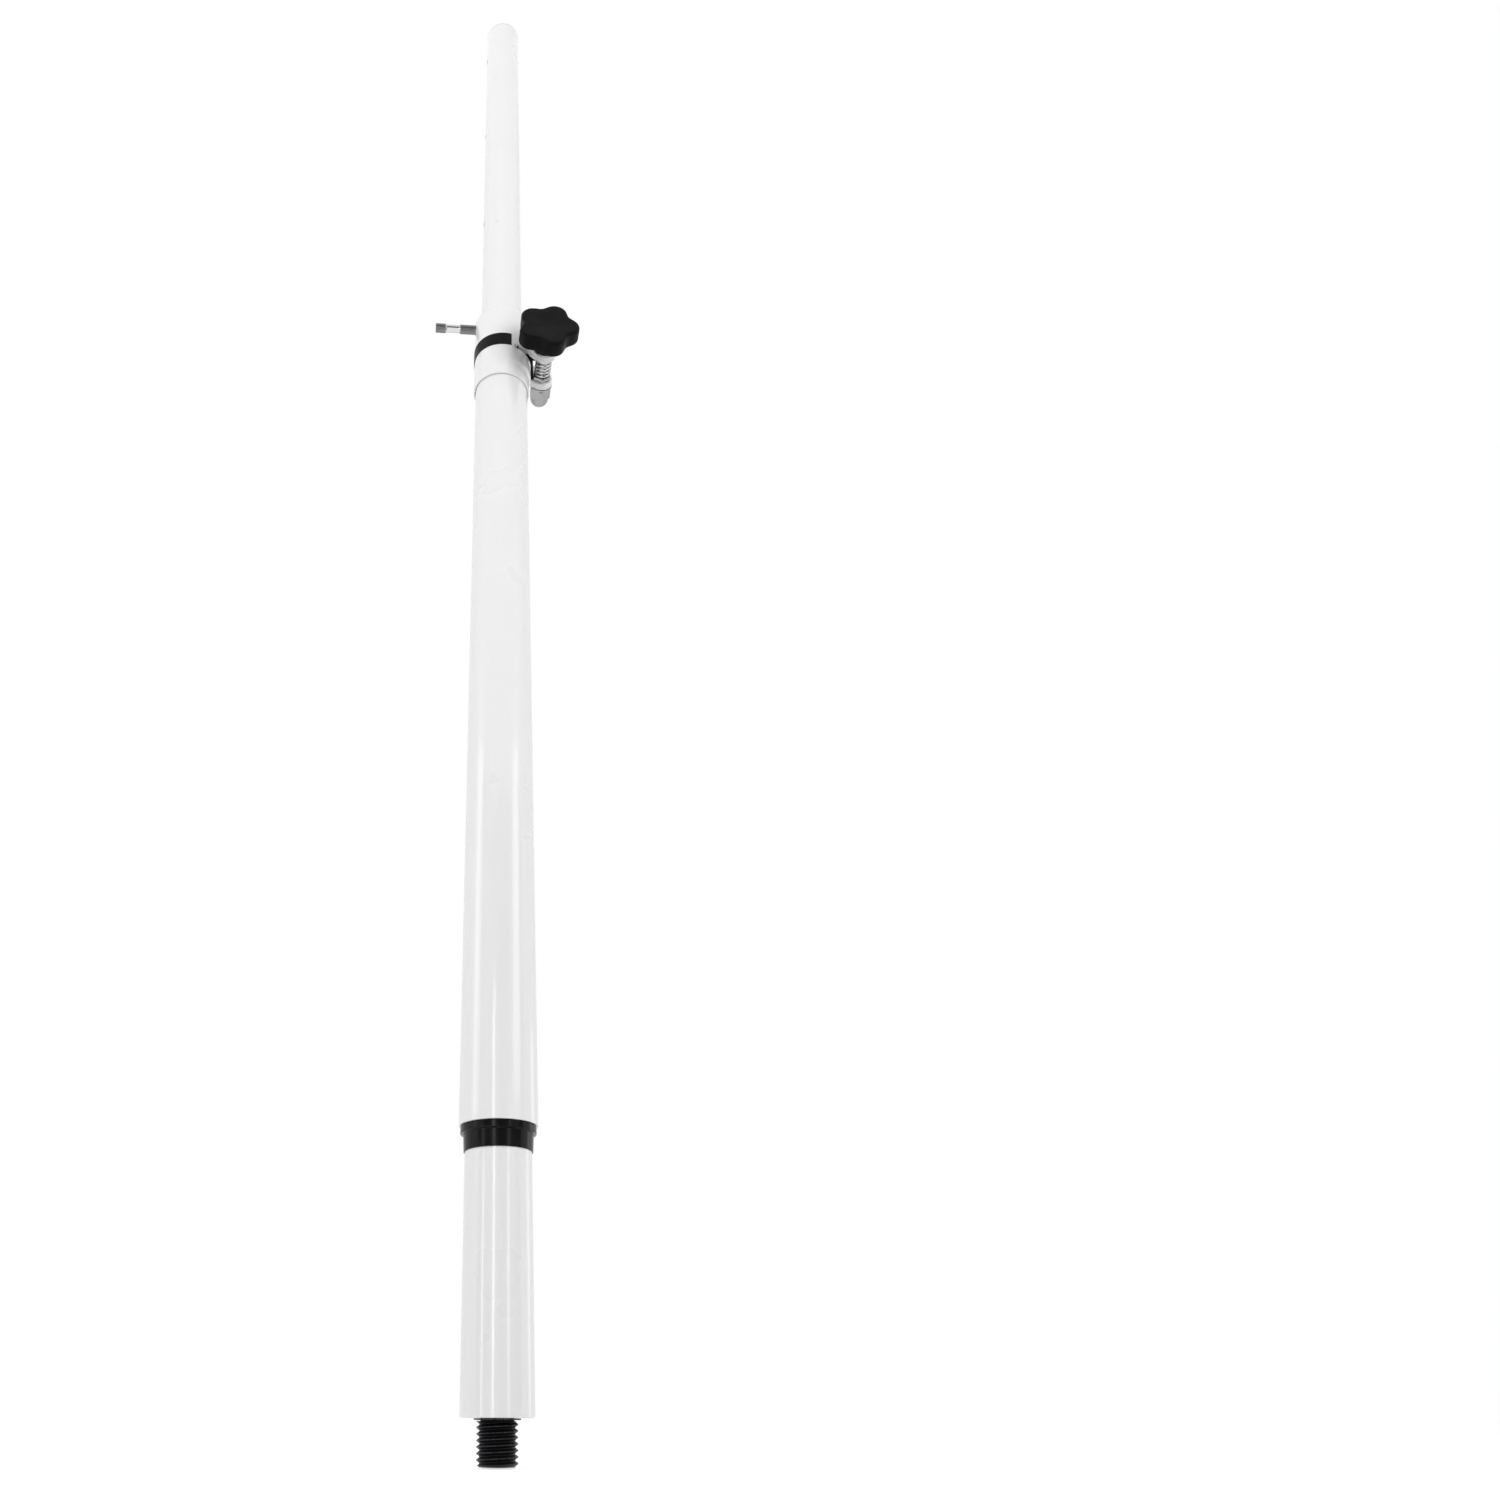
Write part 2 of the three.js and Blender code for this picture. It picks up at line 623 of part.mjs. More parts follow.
// Star knob: a lobed disc on a hub, bored for its threaded insert
function knobPieces() {
  const shape = new THREE.Shape();
  const steps = knobLobes * lobeSteps;
  for (let i = 0; i < steps; i += 1) {
    const a = (i / steps) * 2 * Math.PI;
    const dip = ((1 - Math.cos(knobLobes * a)) / 2) ** dipShapeShare;
    const r = knobR - knobDip * dip;
    const [x, y] = [r * Math.cos(a), r * Math.sin(a)];
    if (i === 0) shape.moveTo(x, y);
    else shape.lineTo(x, y);
  }
  const geometry = new THREE.ExtrudeGeometry(shape, {
    depth: knobT - 2 * knobEdge, bevelThickness: knobEdge, bevelSize: knobEdge, bevelOffset: -knobEdge, bevelSegments: 3,
  });
  geometry.translate(0, 0, knobHubT + knobEdge);
  const hubTop = knobHubT + knobT / 2;
  const hub = turned([[0, 0], [knobHubR - knobEdge, 0], [knobHubR, knobHubT], [knobHubR, hubTop], [0, hubTop]], boreSides);
  const bore = rod(insertR + fit, -overrun, insertSink + insertT + fit);
  const body = meshOf('star_knob', cutBy(joined(solidOf(geometry), hub), bore), blackPlastic);
  const insert = meshOf('knob_insert', ring(boltR + fit, insertR, insertSink, insertSink + insertT, boreSides), brass);
  const group = groupAt(boltX, -earOuterY - seat - washerT - seat, boltZ, body, insert);
  group.rotation.set(Math.PI / 2, 0, 0);
  body.rotation.z = knobTurn;
  return group;
}

// Mast: tube with pin holes, guide bush on its foot and cap on its top
function mastTube() {
  const rivetZ = mastGuideHeight / 2 - mastTubeUp;
  const holes = [];
  for (let i = 0; i <= holeSteps; i += 1) {
    holes.push(rod(pinR + collarEase, -outerR, outerR, boreSides, outwards(0, firstHole + i * holePitch)));
  }
  holes.push(rod(rivetShankR + fit, -outerR, outerR, boreSides, towardsY(0, rivetZ)));
  return groupAt(0, 0, mastTubeUp,
    meshOf('mast_tube', cutBy(ring(mastBore, mastR, 0, mastLength), ...holes), whiteCoat));
}

function mastGuide() {
  const bore = mastR + snug;
  const sleeve = turned([
    [mastGuideFloorR, 0], [sleeveR - mastGuideBevel, 0], [sleeveR, mastGuideBevel],
    [sleeveR, mastGuideHeight], [bore, mastGuideHeight], [bore, mastGuideFloor], [mastGuideFloorR, mastGuideFloor],
  ]);
  const shankHole = rod(rivetShankR + fit, -outerR, outerR, boreSides, towardsY(0, mastGuideHeight / 2));
  return meshOf('mast_guide', cutBy(sleeve, shankHole), blackPlastic);
}

// A rivet whose inner head holds the guide to the mast's wall
function guideRivet(name, turn) {
  const inner = Math.sqrt(mastBore * mastBore - rivetHeadR * rivetHeadR) - seat;
  const headR = inner - rivetHeadT;
  const outline = [[0, headR], [rivetHeadR, headR], [rivetHeadR, inner], [rivetShankR, inner]];
  outline.push([rivetShankR, sleeveR - rivetSink], [0, sleeveR - rivetSink]);
  const mesh = meshOf(name, turned(outline, boreSides), zincSteel);
  mesh.applyMatrix4(outwards(turn, mastGuideHeight / 2));
  return mesh;
}

function mastCap() {
  const plugR = mastBore - fit;
  const shell = turned([
    [plugR - capWall, -capPlug], [plugR, -capPlug], [plugR, seat], [mastR, seat],
    ...topRound(mastR, capFlange, capRound), [0, capFlange], [0, seat], [plugR - capWall, seat],
  ]);
  return groupAt(0, 0, mastTubeUp + mastLength, meshOf('mast_cap', shell, whiteCoat));
}

function mastPieces() {
  return groupAt(0, 0, mastZ, mastTube(), mastGuide(),
    guideRivet('guide_rivet_1', Math.PI / 2), guideRivet('guide_rivet_2', -Math.PI / 2), mastCap());
}

// Locking pin, drawn clear of the mast in the collar's wall
function lockingPin() {
  const tip = mastR + pinTipGap;
  const waistTop = pinReach - pinEnd;
  const waistFoot = waistTop - pinWaist;
  const slope = pinR - pinWaistR;
  const solid = turned([
    [0, tip], [pinR - pinBevel, tip], [pinR, tip + pinBevel], [pinR, waistFoot], [pinWaistR, waistFoot + slope],
    [pinWaistR, waistTop - slope], [pinR, waistTop], [pinR, pinReach - pinBevel], [pinR - pinBevel, pinReach], [0, pinReach],
  ], boreSides);
  const mesh = meshOf('locking_pin', solid, brightSteel);
  mesh.applyMatrix4(outwards(Math.PI, pinZ));
  return mesh;
}

const pole = new THREE.Group();
pole.add(...footPieces(), ...lowerTubePieces(), bushPieces(), outerTube(), ...tubeScrews());
pole.add(collarPieces(), boltPieces(), knobPieces(), mastPieces(), lockingPin());

export default pole;
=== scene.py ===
import math

import bmesh
import bpy
import numpy as np
from mathutils import Matrix


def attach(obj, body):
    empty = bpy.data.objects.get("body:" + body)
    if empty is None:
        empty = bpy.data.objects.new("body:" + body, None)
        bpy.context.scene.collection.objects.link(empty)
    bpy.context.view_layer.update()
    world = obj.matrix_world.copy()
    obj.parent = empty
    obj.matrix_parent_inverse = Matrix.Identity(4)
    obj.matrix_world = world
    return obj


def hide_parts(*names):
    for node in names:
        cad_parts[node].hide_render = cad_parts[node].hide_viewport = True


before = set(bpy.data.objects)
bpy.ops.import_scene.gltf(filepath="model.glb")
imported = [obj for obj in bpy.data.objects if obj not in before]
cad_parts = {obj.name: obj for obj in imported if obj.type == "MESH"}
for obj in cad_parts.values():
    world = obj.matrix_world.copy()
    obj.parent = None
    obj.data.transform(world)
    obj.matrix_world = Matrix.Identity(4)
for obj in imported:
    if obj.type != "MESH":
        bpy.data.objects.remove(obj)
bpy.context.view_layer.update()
mm = 0.001  # every shape below is worked out in millimetres
weld = 2e-6  # metres; points closer than this are one point
print("frame loaded")


# shapes

def gridFaces(points, closeRows=False):
    # each cell joins four neighbouring points; the last column joins the first, and the last row if asked
    rows, cols = points.shape[:2]
    i = np.arange(rows if closeRows else rows - 1)[:, None]
    j = np.arange(cols)[None, :]
    nextRow = (i + 1) % rows * cols
    nextCol = (j + 1) % cols
    return np.stack([i * cols + j, i * cols + nextCol, nextRow + nextCol, nextRow + j], axis=-1)


def softCorners(corners, steps=4):
    # corners are radius, height, rounding: each one gives way to a parabola from one side to the next,
    # with one more point on either side so that the flat faces stay flat
    largestShare, guard = 0.4, 1.2  # most of a side that a rounding takes, and where the extra points stand
    corners = np.asarray(corners, float)
    point = corners[:, :2]
    into = point - np.roll(point, 1, axis=0)
    out = np.roll(point, -1, axis=0) - point
    intoLength = np.linalg.norm(into, axis=1, keepdims=True)
    outLength = np.linalg.norm(out, axis=1, keepdims=True)
    reach = np.minimum(corners[:, 2:3], largestShare * np.minimum(intoLength, outLength))
    into, out = into / intoLength * reach, out / outLength * reach
    t = np.linspace(0, 1, steps + 1)[None, :, None]
    start, middle, end = (each[:, None] for each in (point - into, point, point + out))
    curve = start * (1 - t) ** 2 + middle * 2 * t * (1 - t) + end * t**2
    before, after = (point - guard * into)[:, None], (point + guard * out)[:, None]
    return np.concatenate([before, curve, after], axis=1).reshape(-1, 2)


def evenTurns(sides):
    # equal steps round the axis, short of the last one, which is the first again
    return np.linspace(0, 2 * np.pi, sides, endpoint=False)


def aroundAxis(r, turn, height):
    # round the local Z axis: x = r cos turn, y = r sin turn, z = height
    return np.stack(np.broadcast_arrays(r * np.cos(turn), r * np.sin(turn), height), axis=-1)


def spun(profile, sides):
    # every profile point, a radius and a height, goes once round the local Z axis
    profile = np.asarray(profile, float)
    return aroundAxis(profile[:, :1], evenTurns(sides), profile[:, 1:2])


def spunRing(corners, sides):
    # a ring: the rounded profile closes on itself
    points = spun(softCorners(corners), sides)
    return points, gridFaces(points, closeRows=True)


def spunSolid(corners, sides):
    # a solid: the profile starts and ends on the axis, at the middle of the first and the last rounding
    steps = 6
    skipped = steps // 2 + 1
    points = spun(softCorners(corners, steps)[skipped:-skipped], sides)
    return points, gridFaces(points)


def squareRing(inner, outer, foot, top, soft, sides=160):
    # a tube or a washer, with one rounding on its four edges
    return spunRing([[inner, foot, soft], [outer, foot, soft], [outer, top, soft], [inner, top, soft]], sides)


def capped(points):
    # one more row at either end, drawn together at the end row's middle, closes a tube
    first, last = (row.mean(axis=1, keepdims=True) + 0 * row for row in (points[:1], points[-1:]))
    return np.concatenate([first, points, last])


def turnedTo(points, axes, origin):
    # the rows of axes say where the local X, Y and Z axes point on the pole; the shape then moves to its origin
    return points.reshape(-1, 3) @ np.asarray(axes, float) + np.asarray(origin, float)


# where the local Z axis points in each of these: +Y, -Y and -X of the pole
towardsBack = [[1, 0, 0], [0, 0, -1], [0, 1, 0]]
towardsFront = [[1, 0, 0], [0, 0, 1], [0, -1, 0]]
towardsLeft = [[0, 1, 0], [0, 0, 1], [-1, 0, 0]]


def outwards(turn):
    # the local Z axis points straight out of the pole at this turn
    c, s = math.cos(turn), math.sin(turn)
    return [[-s, c, 0], [0, 0, 1], [c, s, 0]]


def addPiece(name, mesh, finish, body, node):
    # a new piece with its finish, the body that carries it and the solid that it stands for
    mesh.materials.clear()
    mesh.materials.append(finish)
    piece = bpy.data.objects.new(name, mesh)
    bpy.context.scene.collection.objects.link(piece)
    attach(piece, body)
    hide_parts(node)
    return piece


def makePiece(name, parts, finish, body, node):
    # parts are (points, faces) pairs; their shared edges are joined and the faces turned outwards
    points = np.concatenate([part.reshape(-1, 3) for part, _ in parts]) * mm
    starts = np.cumsum([0] + [part.size // 3 for part, _ in parts[:-1]])
    faces = np.concatenate([part.reshape(-1, 4) + start for (_, part), start in zip(parts, starts)])
    mesh = bpy.data.meshes.new(name)
    mesh.from_pydata(points.tolist(), [], faces.tolist())
    work = bmesh.new()
    work.from_mesh(mesh)
    bmesh.ops.remove_doubles(work, verts=work.verts, dist=weld)
    bmesh.ops.delete(work, geom=[edge for edge in work.edges if not edge.link_faces], context="EDGES")
    bmesh.ops.recalc_face_normals(work, faces=work.faces)
    work.to_mesh(mesh)
    work.free()
    mesh.shade_smooth()
    return addPiece(name, mesh, finish, body, node)


# finishes

def linear(hexColour):
    # an sRGB hex colour as the linear values that the shader takes
    value = np.array([int(hexColour[i:i + 2], 16) for i in (1, 3, 5)]) / 255
    return (*np.where(value <= 0.04045, value / 12.92, ((value + 0.055) / 1.055) ** 2.4).tolist(), 1.0)


def addNode(tree, kind, inputs=None, **settings):
    node = tree.nodes.new(kind)
    for key, value in settings.items():
        setattr(node, key, value)
    for key, value in (inputs or {}).items():
        if isinstance(value, bpy.types.NodeSocket):
            tree.links.new(value, node.inputs[key])
        else:
            node.inputs[key].default_value = value
    return node


def newFinish(name, **shaderValues):
    finish = bpy.data.materials.new(name)
    finish.use_nodes = True
    tree = finish.node_tree
    shader = tree.nodes["Principled BSDF"]
    for key, value in shaderValues.items():
        shader.inputs[key].default_value = value
    place = addNode(tree, "ShaderNodeTexCoord").outputs["Object"]
    return finish, tree, shader, place


def dressShader(tree, shader, look, bump, tintBy, roughBy=None, span=(0.3, 0.7)):
    # the colour and the roughness go from one end to the other with a value between 0 and 1, which for a noise
    # nearly always lies within the usual span
    tint = addNode(tree, "ShaderNodeMix", {
        0: tintBy, 6: linear(look["colours"][0]), 7: linear(look["colours"][1])}, data_type="RGBA")
    rough = addNode(tree, "ShaderNodeMapRange", {
        0: roughBy or tintBy, 1: span[0], 2: span[1], 3: look["rough"][0], 4: look["rough"][1]})
    tree.links.new(tint.outputs[2], shader.inputs["Base Color"])
    tree.links.new(rough.outputs[0], shader.inputs["Roughness"])
    tree.links.new(bump.outputs["Normal"], shader.inputs["Normal"])


def perMm(size):
    return 1 / (size * mm)  # noise scale whose features are about this many millimetres


def powderCoat():
    # gloss polyester powder coat on steel: an even white whose reflections waver a little, because
    # the powder melts into a faint orange-peel skin
    look = {"peel": 1.6, "peelDepth": 0.006, "cloud": 45, "colours": ("#EEEEEE", "#EAEAEA"), "rough": (0.26, 0.34)}
    finish, tree, shader, place = newFinish(
        "white_powder_coat", **{"IOR": 1.5, "Coat Weight": 1.0, "Coat Roughness": 0.08, "Coat IOR": 1.45})
    peel = addNode(tree, "ShaderNodeTexNoise", {
        "Vector": place, "Scale": perMm(look["peel"]), "Detail": 2.0, "Roughness": 0.45})
    bump = addNode(tree, "ShaderNodeBump", {
        "Height": peel.outputs["Fac"], "Strength": 1.0, "Distance": look["peelDepth"] * mm})
    cloud = addNode(tree, "ShaderNodeTexNoise", {"Vector": place, "Scale": perMm(look["cloud"]), "Detail": 3.0})
    dressShader(tree, shader, look, bump, cloud.outputs["Fac"])
    return finish


def mouldedPlastic(name, look):
    # injection-moulded plastic: spark-eroded mould walls leave a fine even grain that spreads the highlights,
    # drawn a few times coarser than it is so that it shows
    finish, tree, shader, place = newFinish(name, **{"IOR": 1.53, "Specular IOR Level": look["shine"]})
    grain = addNode(tree, "ShaderNodeTexNoise", {
        "Vector": place, "Scale": perMm(look["grain"]), "Detail": 3.0, "Roughness": 0.6})
    bump = addNode(tree, "ShaderNodeBump", {
        "Height": grain.outputs["Fac"], "Strength": 1.0, "Distance": look["grainDepth"] * mm})
    flow = addNode(tree, "ShaderNodeTexNoise", {"Vector": place, "Scale": perMm(look["flow"]), "Detail": 2.0})
    dressShader(tree, shader, look, bump, flow.outputs["Fac"])
    return finish


def platedSteel(name, look):
    # plated or turned metal: the surface keeps fine marks of the rolling, or of the turning, which stretch round
    # the part, drawn coarser than they are so that they show; the colour drifts a little from place to place
    finish, tree, shader, place = newFinish(name, **{"Metallic": 1.0})
    stretched = addNode(tree, "ShaderNodeMapping", {"Vector": place, "Scale": look["markScale"]})
    marks = addNode(tree, "ShaderNodeTexNoise", {
        "Vector": stretched.outputs[0], "Scale": perMm(look["mark"]), "Detail": 2.0, "Roughness": 0.55})
    bump = addNode(tree, "ShaderNodeBump", {
        "Height": marks.outputs["Fac"], "Strength": 1.0, "Distance": look["markDepth"] * mm})
    drift = addNode(tree, "ShaderNodeTexNoise", {"Vector": place, "Scale": perMm(look["drift"]), "Detail": 3.0})
    dressShader(tree, shader, look, bump, drift.outputs["Fac"])
    return finish


def blackOxide():
    # black oxide on rolled steel: a thin dark conversion layer with an oily sheen, rubbed to bare grey
    # in patches on the thread's crests, where a plate has been screwed on and off
    look = {"metal": 0.75, "crestFrom": 9.72, "crestTo": 9.93, "scuff": 0.9, "scuffDepth": 0.006, "patchFrom": 0.42,
            "patchTo": 0.62, "patchMost": 0.8, "colours": ("#19191B", "#55565A"), "rough": (0.3, 0.46)}
    finish, tree, shader, place = newFinish("black_oxide_steel", **{"Metallic": look["metal"]})
    flat = addNode(tree, "ShaderNodeVectorMath", {0: place, 1: (1, 1, 0)}, operation="MULTIPLY")
    radius = addNode(tree, "ShaderNodeVectorMath", {0: flat.outputs[0]}, operation="LENGTH")
    crest = addNode(tree, "ShaderNodeMapRange", {
        0: radius.outputs["Value"], 1: look["crestFrom"] * mm, 2: look["crestTo"] * mm, 3: 0.0, 4: 1.0})
    scuff = addNode(tree, "ShaderNodeTexNoise", {
        "Vector": place, "Scale": perMm(look["scuff"]), "Detail": 4.0, "Roughness": 0.6})
    patch = addNode(tree, "ShaderNodeMapRange", {
        0: scuff.outputs["Fac"], 1: look["patchFrom"], 2: look["patchTo"], 3: 0.0, 4: look["patchMost"]})
    rubbed = addNode(tree, "ShaderNodeMath", {0: crest.outputs[0], 1: patch.outputs[0]}, operation="MULTIPLY")
    bump = addNode(tree, "ShaderNodeBump", {
        "Height": scuff.outputs["Fac"], "Strength": 1.0, "Distance": look["scuffDepth"] * mm})
    dressShader(tree, shader, look, bump, rubbed.outputs[0], scuff.outputs["Fac"])
    return finish


def pinSteel():
    # nickel plate over a turned pin: bright where the waist was polished, and a duller, finely pitted grey
    # on the nose and the grip; the change follows the distance along the pin with two soft steps
    look = {"from": -48.9, "to": -36.2, "soft": 0.5, "pit": 0.5, "pitDepth": 0.012, "waistPits": 0.05,
            "colours": ("#7C7C7D", "#D0D0CF"), "rough": (0.3, 0.1)}
    finish, tree, shader, place = newFinish("nickel_plated_pin", **{"Metallic": 1.0})
    along = addNode(tree, "ShaderNodeSeparateXYZ", {0: place})
    steps = []
    for edge, before, after in ((look["from"], 0.0, 1.0), (look["to"], 1.0, 0.0)):
        steps.append(addNode(tree, "ShaderNodeMapRange", {
            0: along.outputs["X"], 1: (edge - look["soft"]) * mm, 2: (edge + look["soft"]) * mm, 3: before, 4: after}))
    waist = addNode(tree, "ShaderNodeMath", {0: steps[0].outputs[0], 1: steps[1].outputs[0]}, operation="MULTIPLY")
    pits = addNode(tree, "ShaderNodeTexNoise", {
        "Vector": place, "Scale": perMm(look["pit"]), "Detail": 3.0, "Roughness": 0.6})
    dull = addNode(tree, "ShaderNodeMapRange", {0: waist.outputs[0], 1: 0.0, 2: 1.0, 3: 1.0, 4: look["waistPits"]})
    bump = addNode(tree, "ShaderNodeBump", {
        "Height": pits.outputs["Fac"], "Strength": dull.outputs[0], "Distance": look["pitDepth"] * mm})
    dressShader(tree, shader, look, bump, waist.outputs[0], span=(0.0, 1.0))
    return finish


coat = powderCoat()
nylon = mouldedPlastic("black_moulded_nylon", {
    "shine": 0.07, "grain": 0.35, "grainDepth": 0.008, "flow": 14, "rough": (0.4, 0.5),
    "colours": ("#0C0C0D", "#0F0F10")})
bushNylon = mouldedPlastic("glossy_black_nylon", {
    "shine": 0.16, "grain": 0.5, "grainDepth": 0.003, "flow": 12, "rough": (0.15, 0.25),
    "colours": ("#0F0F10", "#131314")})
capPlastic = mouldedPlastic("white_moulded_abs", {
    "shine": 0.5, "grain": 0.4, "grainDepth": 0.004, "flow": 18, "rough": (0.31, 0.41),
    "colours": ("#E9E9E9", "#EDEDED")})
labelFilm = mouldedPlastic("black_vinyl_film", {
    "shine": 0.06, "grain": 0.6, "grainDepth": 0.003, "flow": 9, "rough": (0.29, 0.39),
    "colours": ("#0B0B0C", "#0E0E0F")})
softRubber = mouldedPlastic("black_rubber", {
    "shine": 0.2, "grain": 0.5, "grainDepth": 0.01, "flow": 10, "rough": (0.75, 0.85),
    "colours": ("#131313", "#181818")})
oxide = blackOxide()
zinc = platedSteel("bright_zinc_plate", {
    "markScale": (1, 1, 1), "mark": 1.1, "markDepth": 0.05, "drift": 3.0, "rough": (0.2, 0.36),
    "colours": ("#8E9093", "#B2B1AE")})
turnedZinc = platedSteel("turned_zinc_plate", {
    "markScale": (1, 0.08, 1), "mark": 0.3, "markDepth": 0.004, "drift": 6, "rough": (0.16, 0.26),
    "colours": ("#BCC0C4", "#CFCECA")})
springSteel = platedSteel("bright_spring_wire", {
    "markScale": (1, 1, 1), "mark": 0.5, "markDepth": 0.004, "drift": 4, "rough": (0.1, 0.18),
    "colours": ("#C4C5C6", "#D6D5D2")})
pinPlate = pinSteel()
brassTurned = platedSteel("turned_brass", {
    "markScale": (1, 0.08, 1), "mark": 0.25, "markDepth": 0.003, "drift": 5, "rough": (0.2, 0.3),
    "colours": ("#B89350", "#C6A25C")})
print("finishes made")


# foot of the pole

def threadRadius(turn, height, thread):
    # the thread's depth follows a triangle wave of height / pitch - turn / 360 degrees + start, cut flat
    # at crest and root, and a small sine eases its flanks
    ease = 0.12
    phase = (height / thread["pitch"] - turn / (2 * np.pi) + thread["start"]) % 1
    wave = 1 - np.abs(2 * phase - 1)
    dip = np.clip((wave - thread["crestFlat"]) / (1 - thread["crestFlat"] - thread["rootFlat"]), 0, 1)
    return thread["crest"] - thread["depth"] * (dip - ease * np.sin(2 * np.pi * dip) / (2 * np.pi))


def threadedStud():
    # radius over height and turn: bevelled tip, helical thread whose root fills up over the last stretch,
    # then the plain shank up in the plug
    stud = {"crest": 9.9, "depth": 1.42, "pitch": 2.5, "start": 0.4, "crestFlat": 0.1, "rootFlat": 0.12, "foot": -19.0,
            "top": -1.15, "tipFlat": 5, "tipBevel": 1.25, "fade": 1.2, "fadeSink": 0.9, "shank": 8.0, "shankTop": 25.7,
            "sides": 120, "rowsPerTurn": 16}
    length = stud["top"] - stud["foot"]
    height = np.linspace(0, length, int(length / stud["pitch"] * stud["rowsPerTurn"]))[:, None]
    turn = evenTurns(stud["sides"])
    toTop = height[-1] - height
    filled = stud["crest"] - stud["depth"] * np.clip(toTop / stud["fade"], 0, 1) - stud["fadeSink"]
    r = np.maximum(threadRadius(turn, height, stud), np.where(toTop < stud["fade"], filled, 0))
    r = np.minimum(r, stud["crest"] - stud["tipBevel"] + height)
    tipFace = spun([[0, stud["foot"]], [stud["tipFlat"], stud["foot"]]], stud["sides"])
    thread = aroundAxis(r, turn, height + stud["foot"])
    shank = [[stud["shank"], stud["top"]], [stud["shank"], stud["shankTop"]], [0, stud["shankTop"]]]
    points = np.concatenate([tipFace, thread, spun(shank, stud["sides"])])
    makePiece("stud", [(points, gridFaces(points))], oxide, "base", "threaded_stud")


def footFittings():
    # the washer at the stud's root and the plug in the lower tube, both rings with rounded edges
    washer = {"inner": 8.3, "outer": 11.2, "foot": -0.8, "top": -0.1, "soft": 0.2, "sides": 96}
    plug = {"inner": 8.3, "outer": 15.7, "foot": 0.05, "top": 26.0, "soft": 0.3, "rimSoft": 0.8, "sides": 96}
    makePiece("foot_washer", [squareRing(**washer)], oxide, "base", "stud_washer")
    core = spunRing([
        [plug["inner"], plug["foot"], plug["soft"]], [plug["outer"], plug["foot"], plug["rimSoft"]],
        [plug["outer"], plug["top"], plug["soft"]], [plug["inner"], plug["top"], plug["soft"]]], plug["sides"])
    makePiece("foot_plug", [core], coat, "base", "bottom_plug")


# tubes

def plainTubes():
    # a tube's wall is one upright rectangle with rounded corners, spun round the axis
    lower = {"inner": 16.0, "outer": 18.0, "foot": 0.0, "top": 241.0, "soft": 0.5}
    outer = {"inner": 20.0, "outer": 21.5, "foot": 130.6, "top": 744.2, "soft": 0.35}
    makePiece("lower_pole", [squareRing(**lower)], coat, "base", "lower_tube")
    makePiece("outer_pole", [squareRing(**outer)], coat, "base", "outer_tube")


def mastPole():
    # a tube wall as a closed grid of height and turn; square windows left in it are filled with rings
    # that go from the window's border to the round edge of a pin hole, and the hole's wall joins both skins
    mast = {"inner": 15.5, "outer": 17.5, "foot": 706.3, "top": 1309.3, "soft": 0.3, "sides": 128, "window": 7,
            "windowRise": 6, "holeR": 4.5, "firstHole": 794.5, "holePitch": 152.4, "holes": 4, "rings": 5,
            "rimAngle": 50, "rimWidth": 0.25, "rimSteps": 2}
    inner, outer, foot, top, soft = (mast[key] for key in ("inner", "outer", "foot", "top", "soft"))
    half, rise = mast["window"], mast["windowRise"]
    bend = 0.3 * soft  # how far the middle of an edge's rounding stands in from its corner
    holes = mast["firstHole"] + mast["holePitch"] * np.arange(mast["holes"])
    windowRows = (holes[:, None] + np.linspace(-rise, rise, 2 * half + 1)).ravel()
    skin = np.concatenate([[foot + soft], windowRows, [top - soft]])
    profile = np.concatenate([
        np.stack([np.full_like(skin, outer), skin], axis=1),
        [[outer - bend, top - bend], [outer - soft, top], [inner + soft, top], [inner + bend, top - bend]],
        np.stack([np.full_like(skin, inner), skin], axis=1)[::-1],
        [[inner + bend, foot + bend], [inner + soft, foot], [outer - soft, foot], [outer - bend, foot + bend]]])
    points = spun(profile, mast["sides"])
    rowMiddle = (profile[:, 1] + np.roll(profile[:, 1], -1)) / 2
    windowRow = np.abs(rowMiddle[:, None] - holes[None, :]).min(axis=1) < rise
    windowColumn = (np.arange(mast["sides"]) + half) % (mast["sides"] // 2) < 2 * half
    cells = gridFaces(points, closeRows=True)
    parts = [(points, cells[~(windowRow[:, None] & windowColumn[None, :])])]
    across = np.linspace(-half, half, 2 * half + 1)
    edge = np.full(2 * half, half)
    borderTurn = np.concatenate([across[:-1], edge, -across[:-1], -edge]) * (2 * np.pi / mast["sides"])
    borderHeight = np.concatenate([-edge, across[:-1], edge, -across[:-1]]) * rise / half
    angle = np.arctan2(borderHeight, borderTurn * outer)
    blend = np.linspace(0, 1, mast["rings"] + 1)[:, None]
    for hole in holes:
        for side in (0, np.pi):
            rims = []
            for r in (outer, inner):
                rimTurn = np.arcsin(mast["holeR"] * np.cos(angle) / r)
                turn = side + borderTurn * (1 - blend) + rimTurn * blend
                height = hole + borderHeight * (1 - blend) + mast["holeR"] * np.sin(angle) * blend
                patch = aroundAxis(r, turn, height)
                parts.append((patch, gridFaces(patch)))
                rims.append(patch[-1])
            wall = np.stack(rims)
            parts.append((wall, gridFaces(wall)))
    piece = makePiece("mast_pole", parts, coat, "mast", "mast_tube")
    rim = piece.modifiers.new("hole_rims", "BEVEL")
    rim.limit_method = "ANGLE"
    rim.angle_limit = math.radians(mast["rimAngle"])
    rim.width = mast["rimWidth"] * mm
    rim.segments = mast["rimSteps"]
    piece.modifiers.new("even_shading", "WEIGHTED_NORMAL")


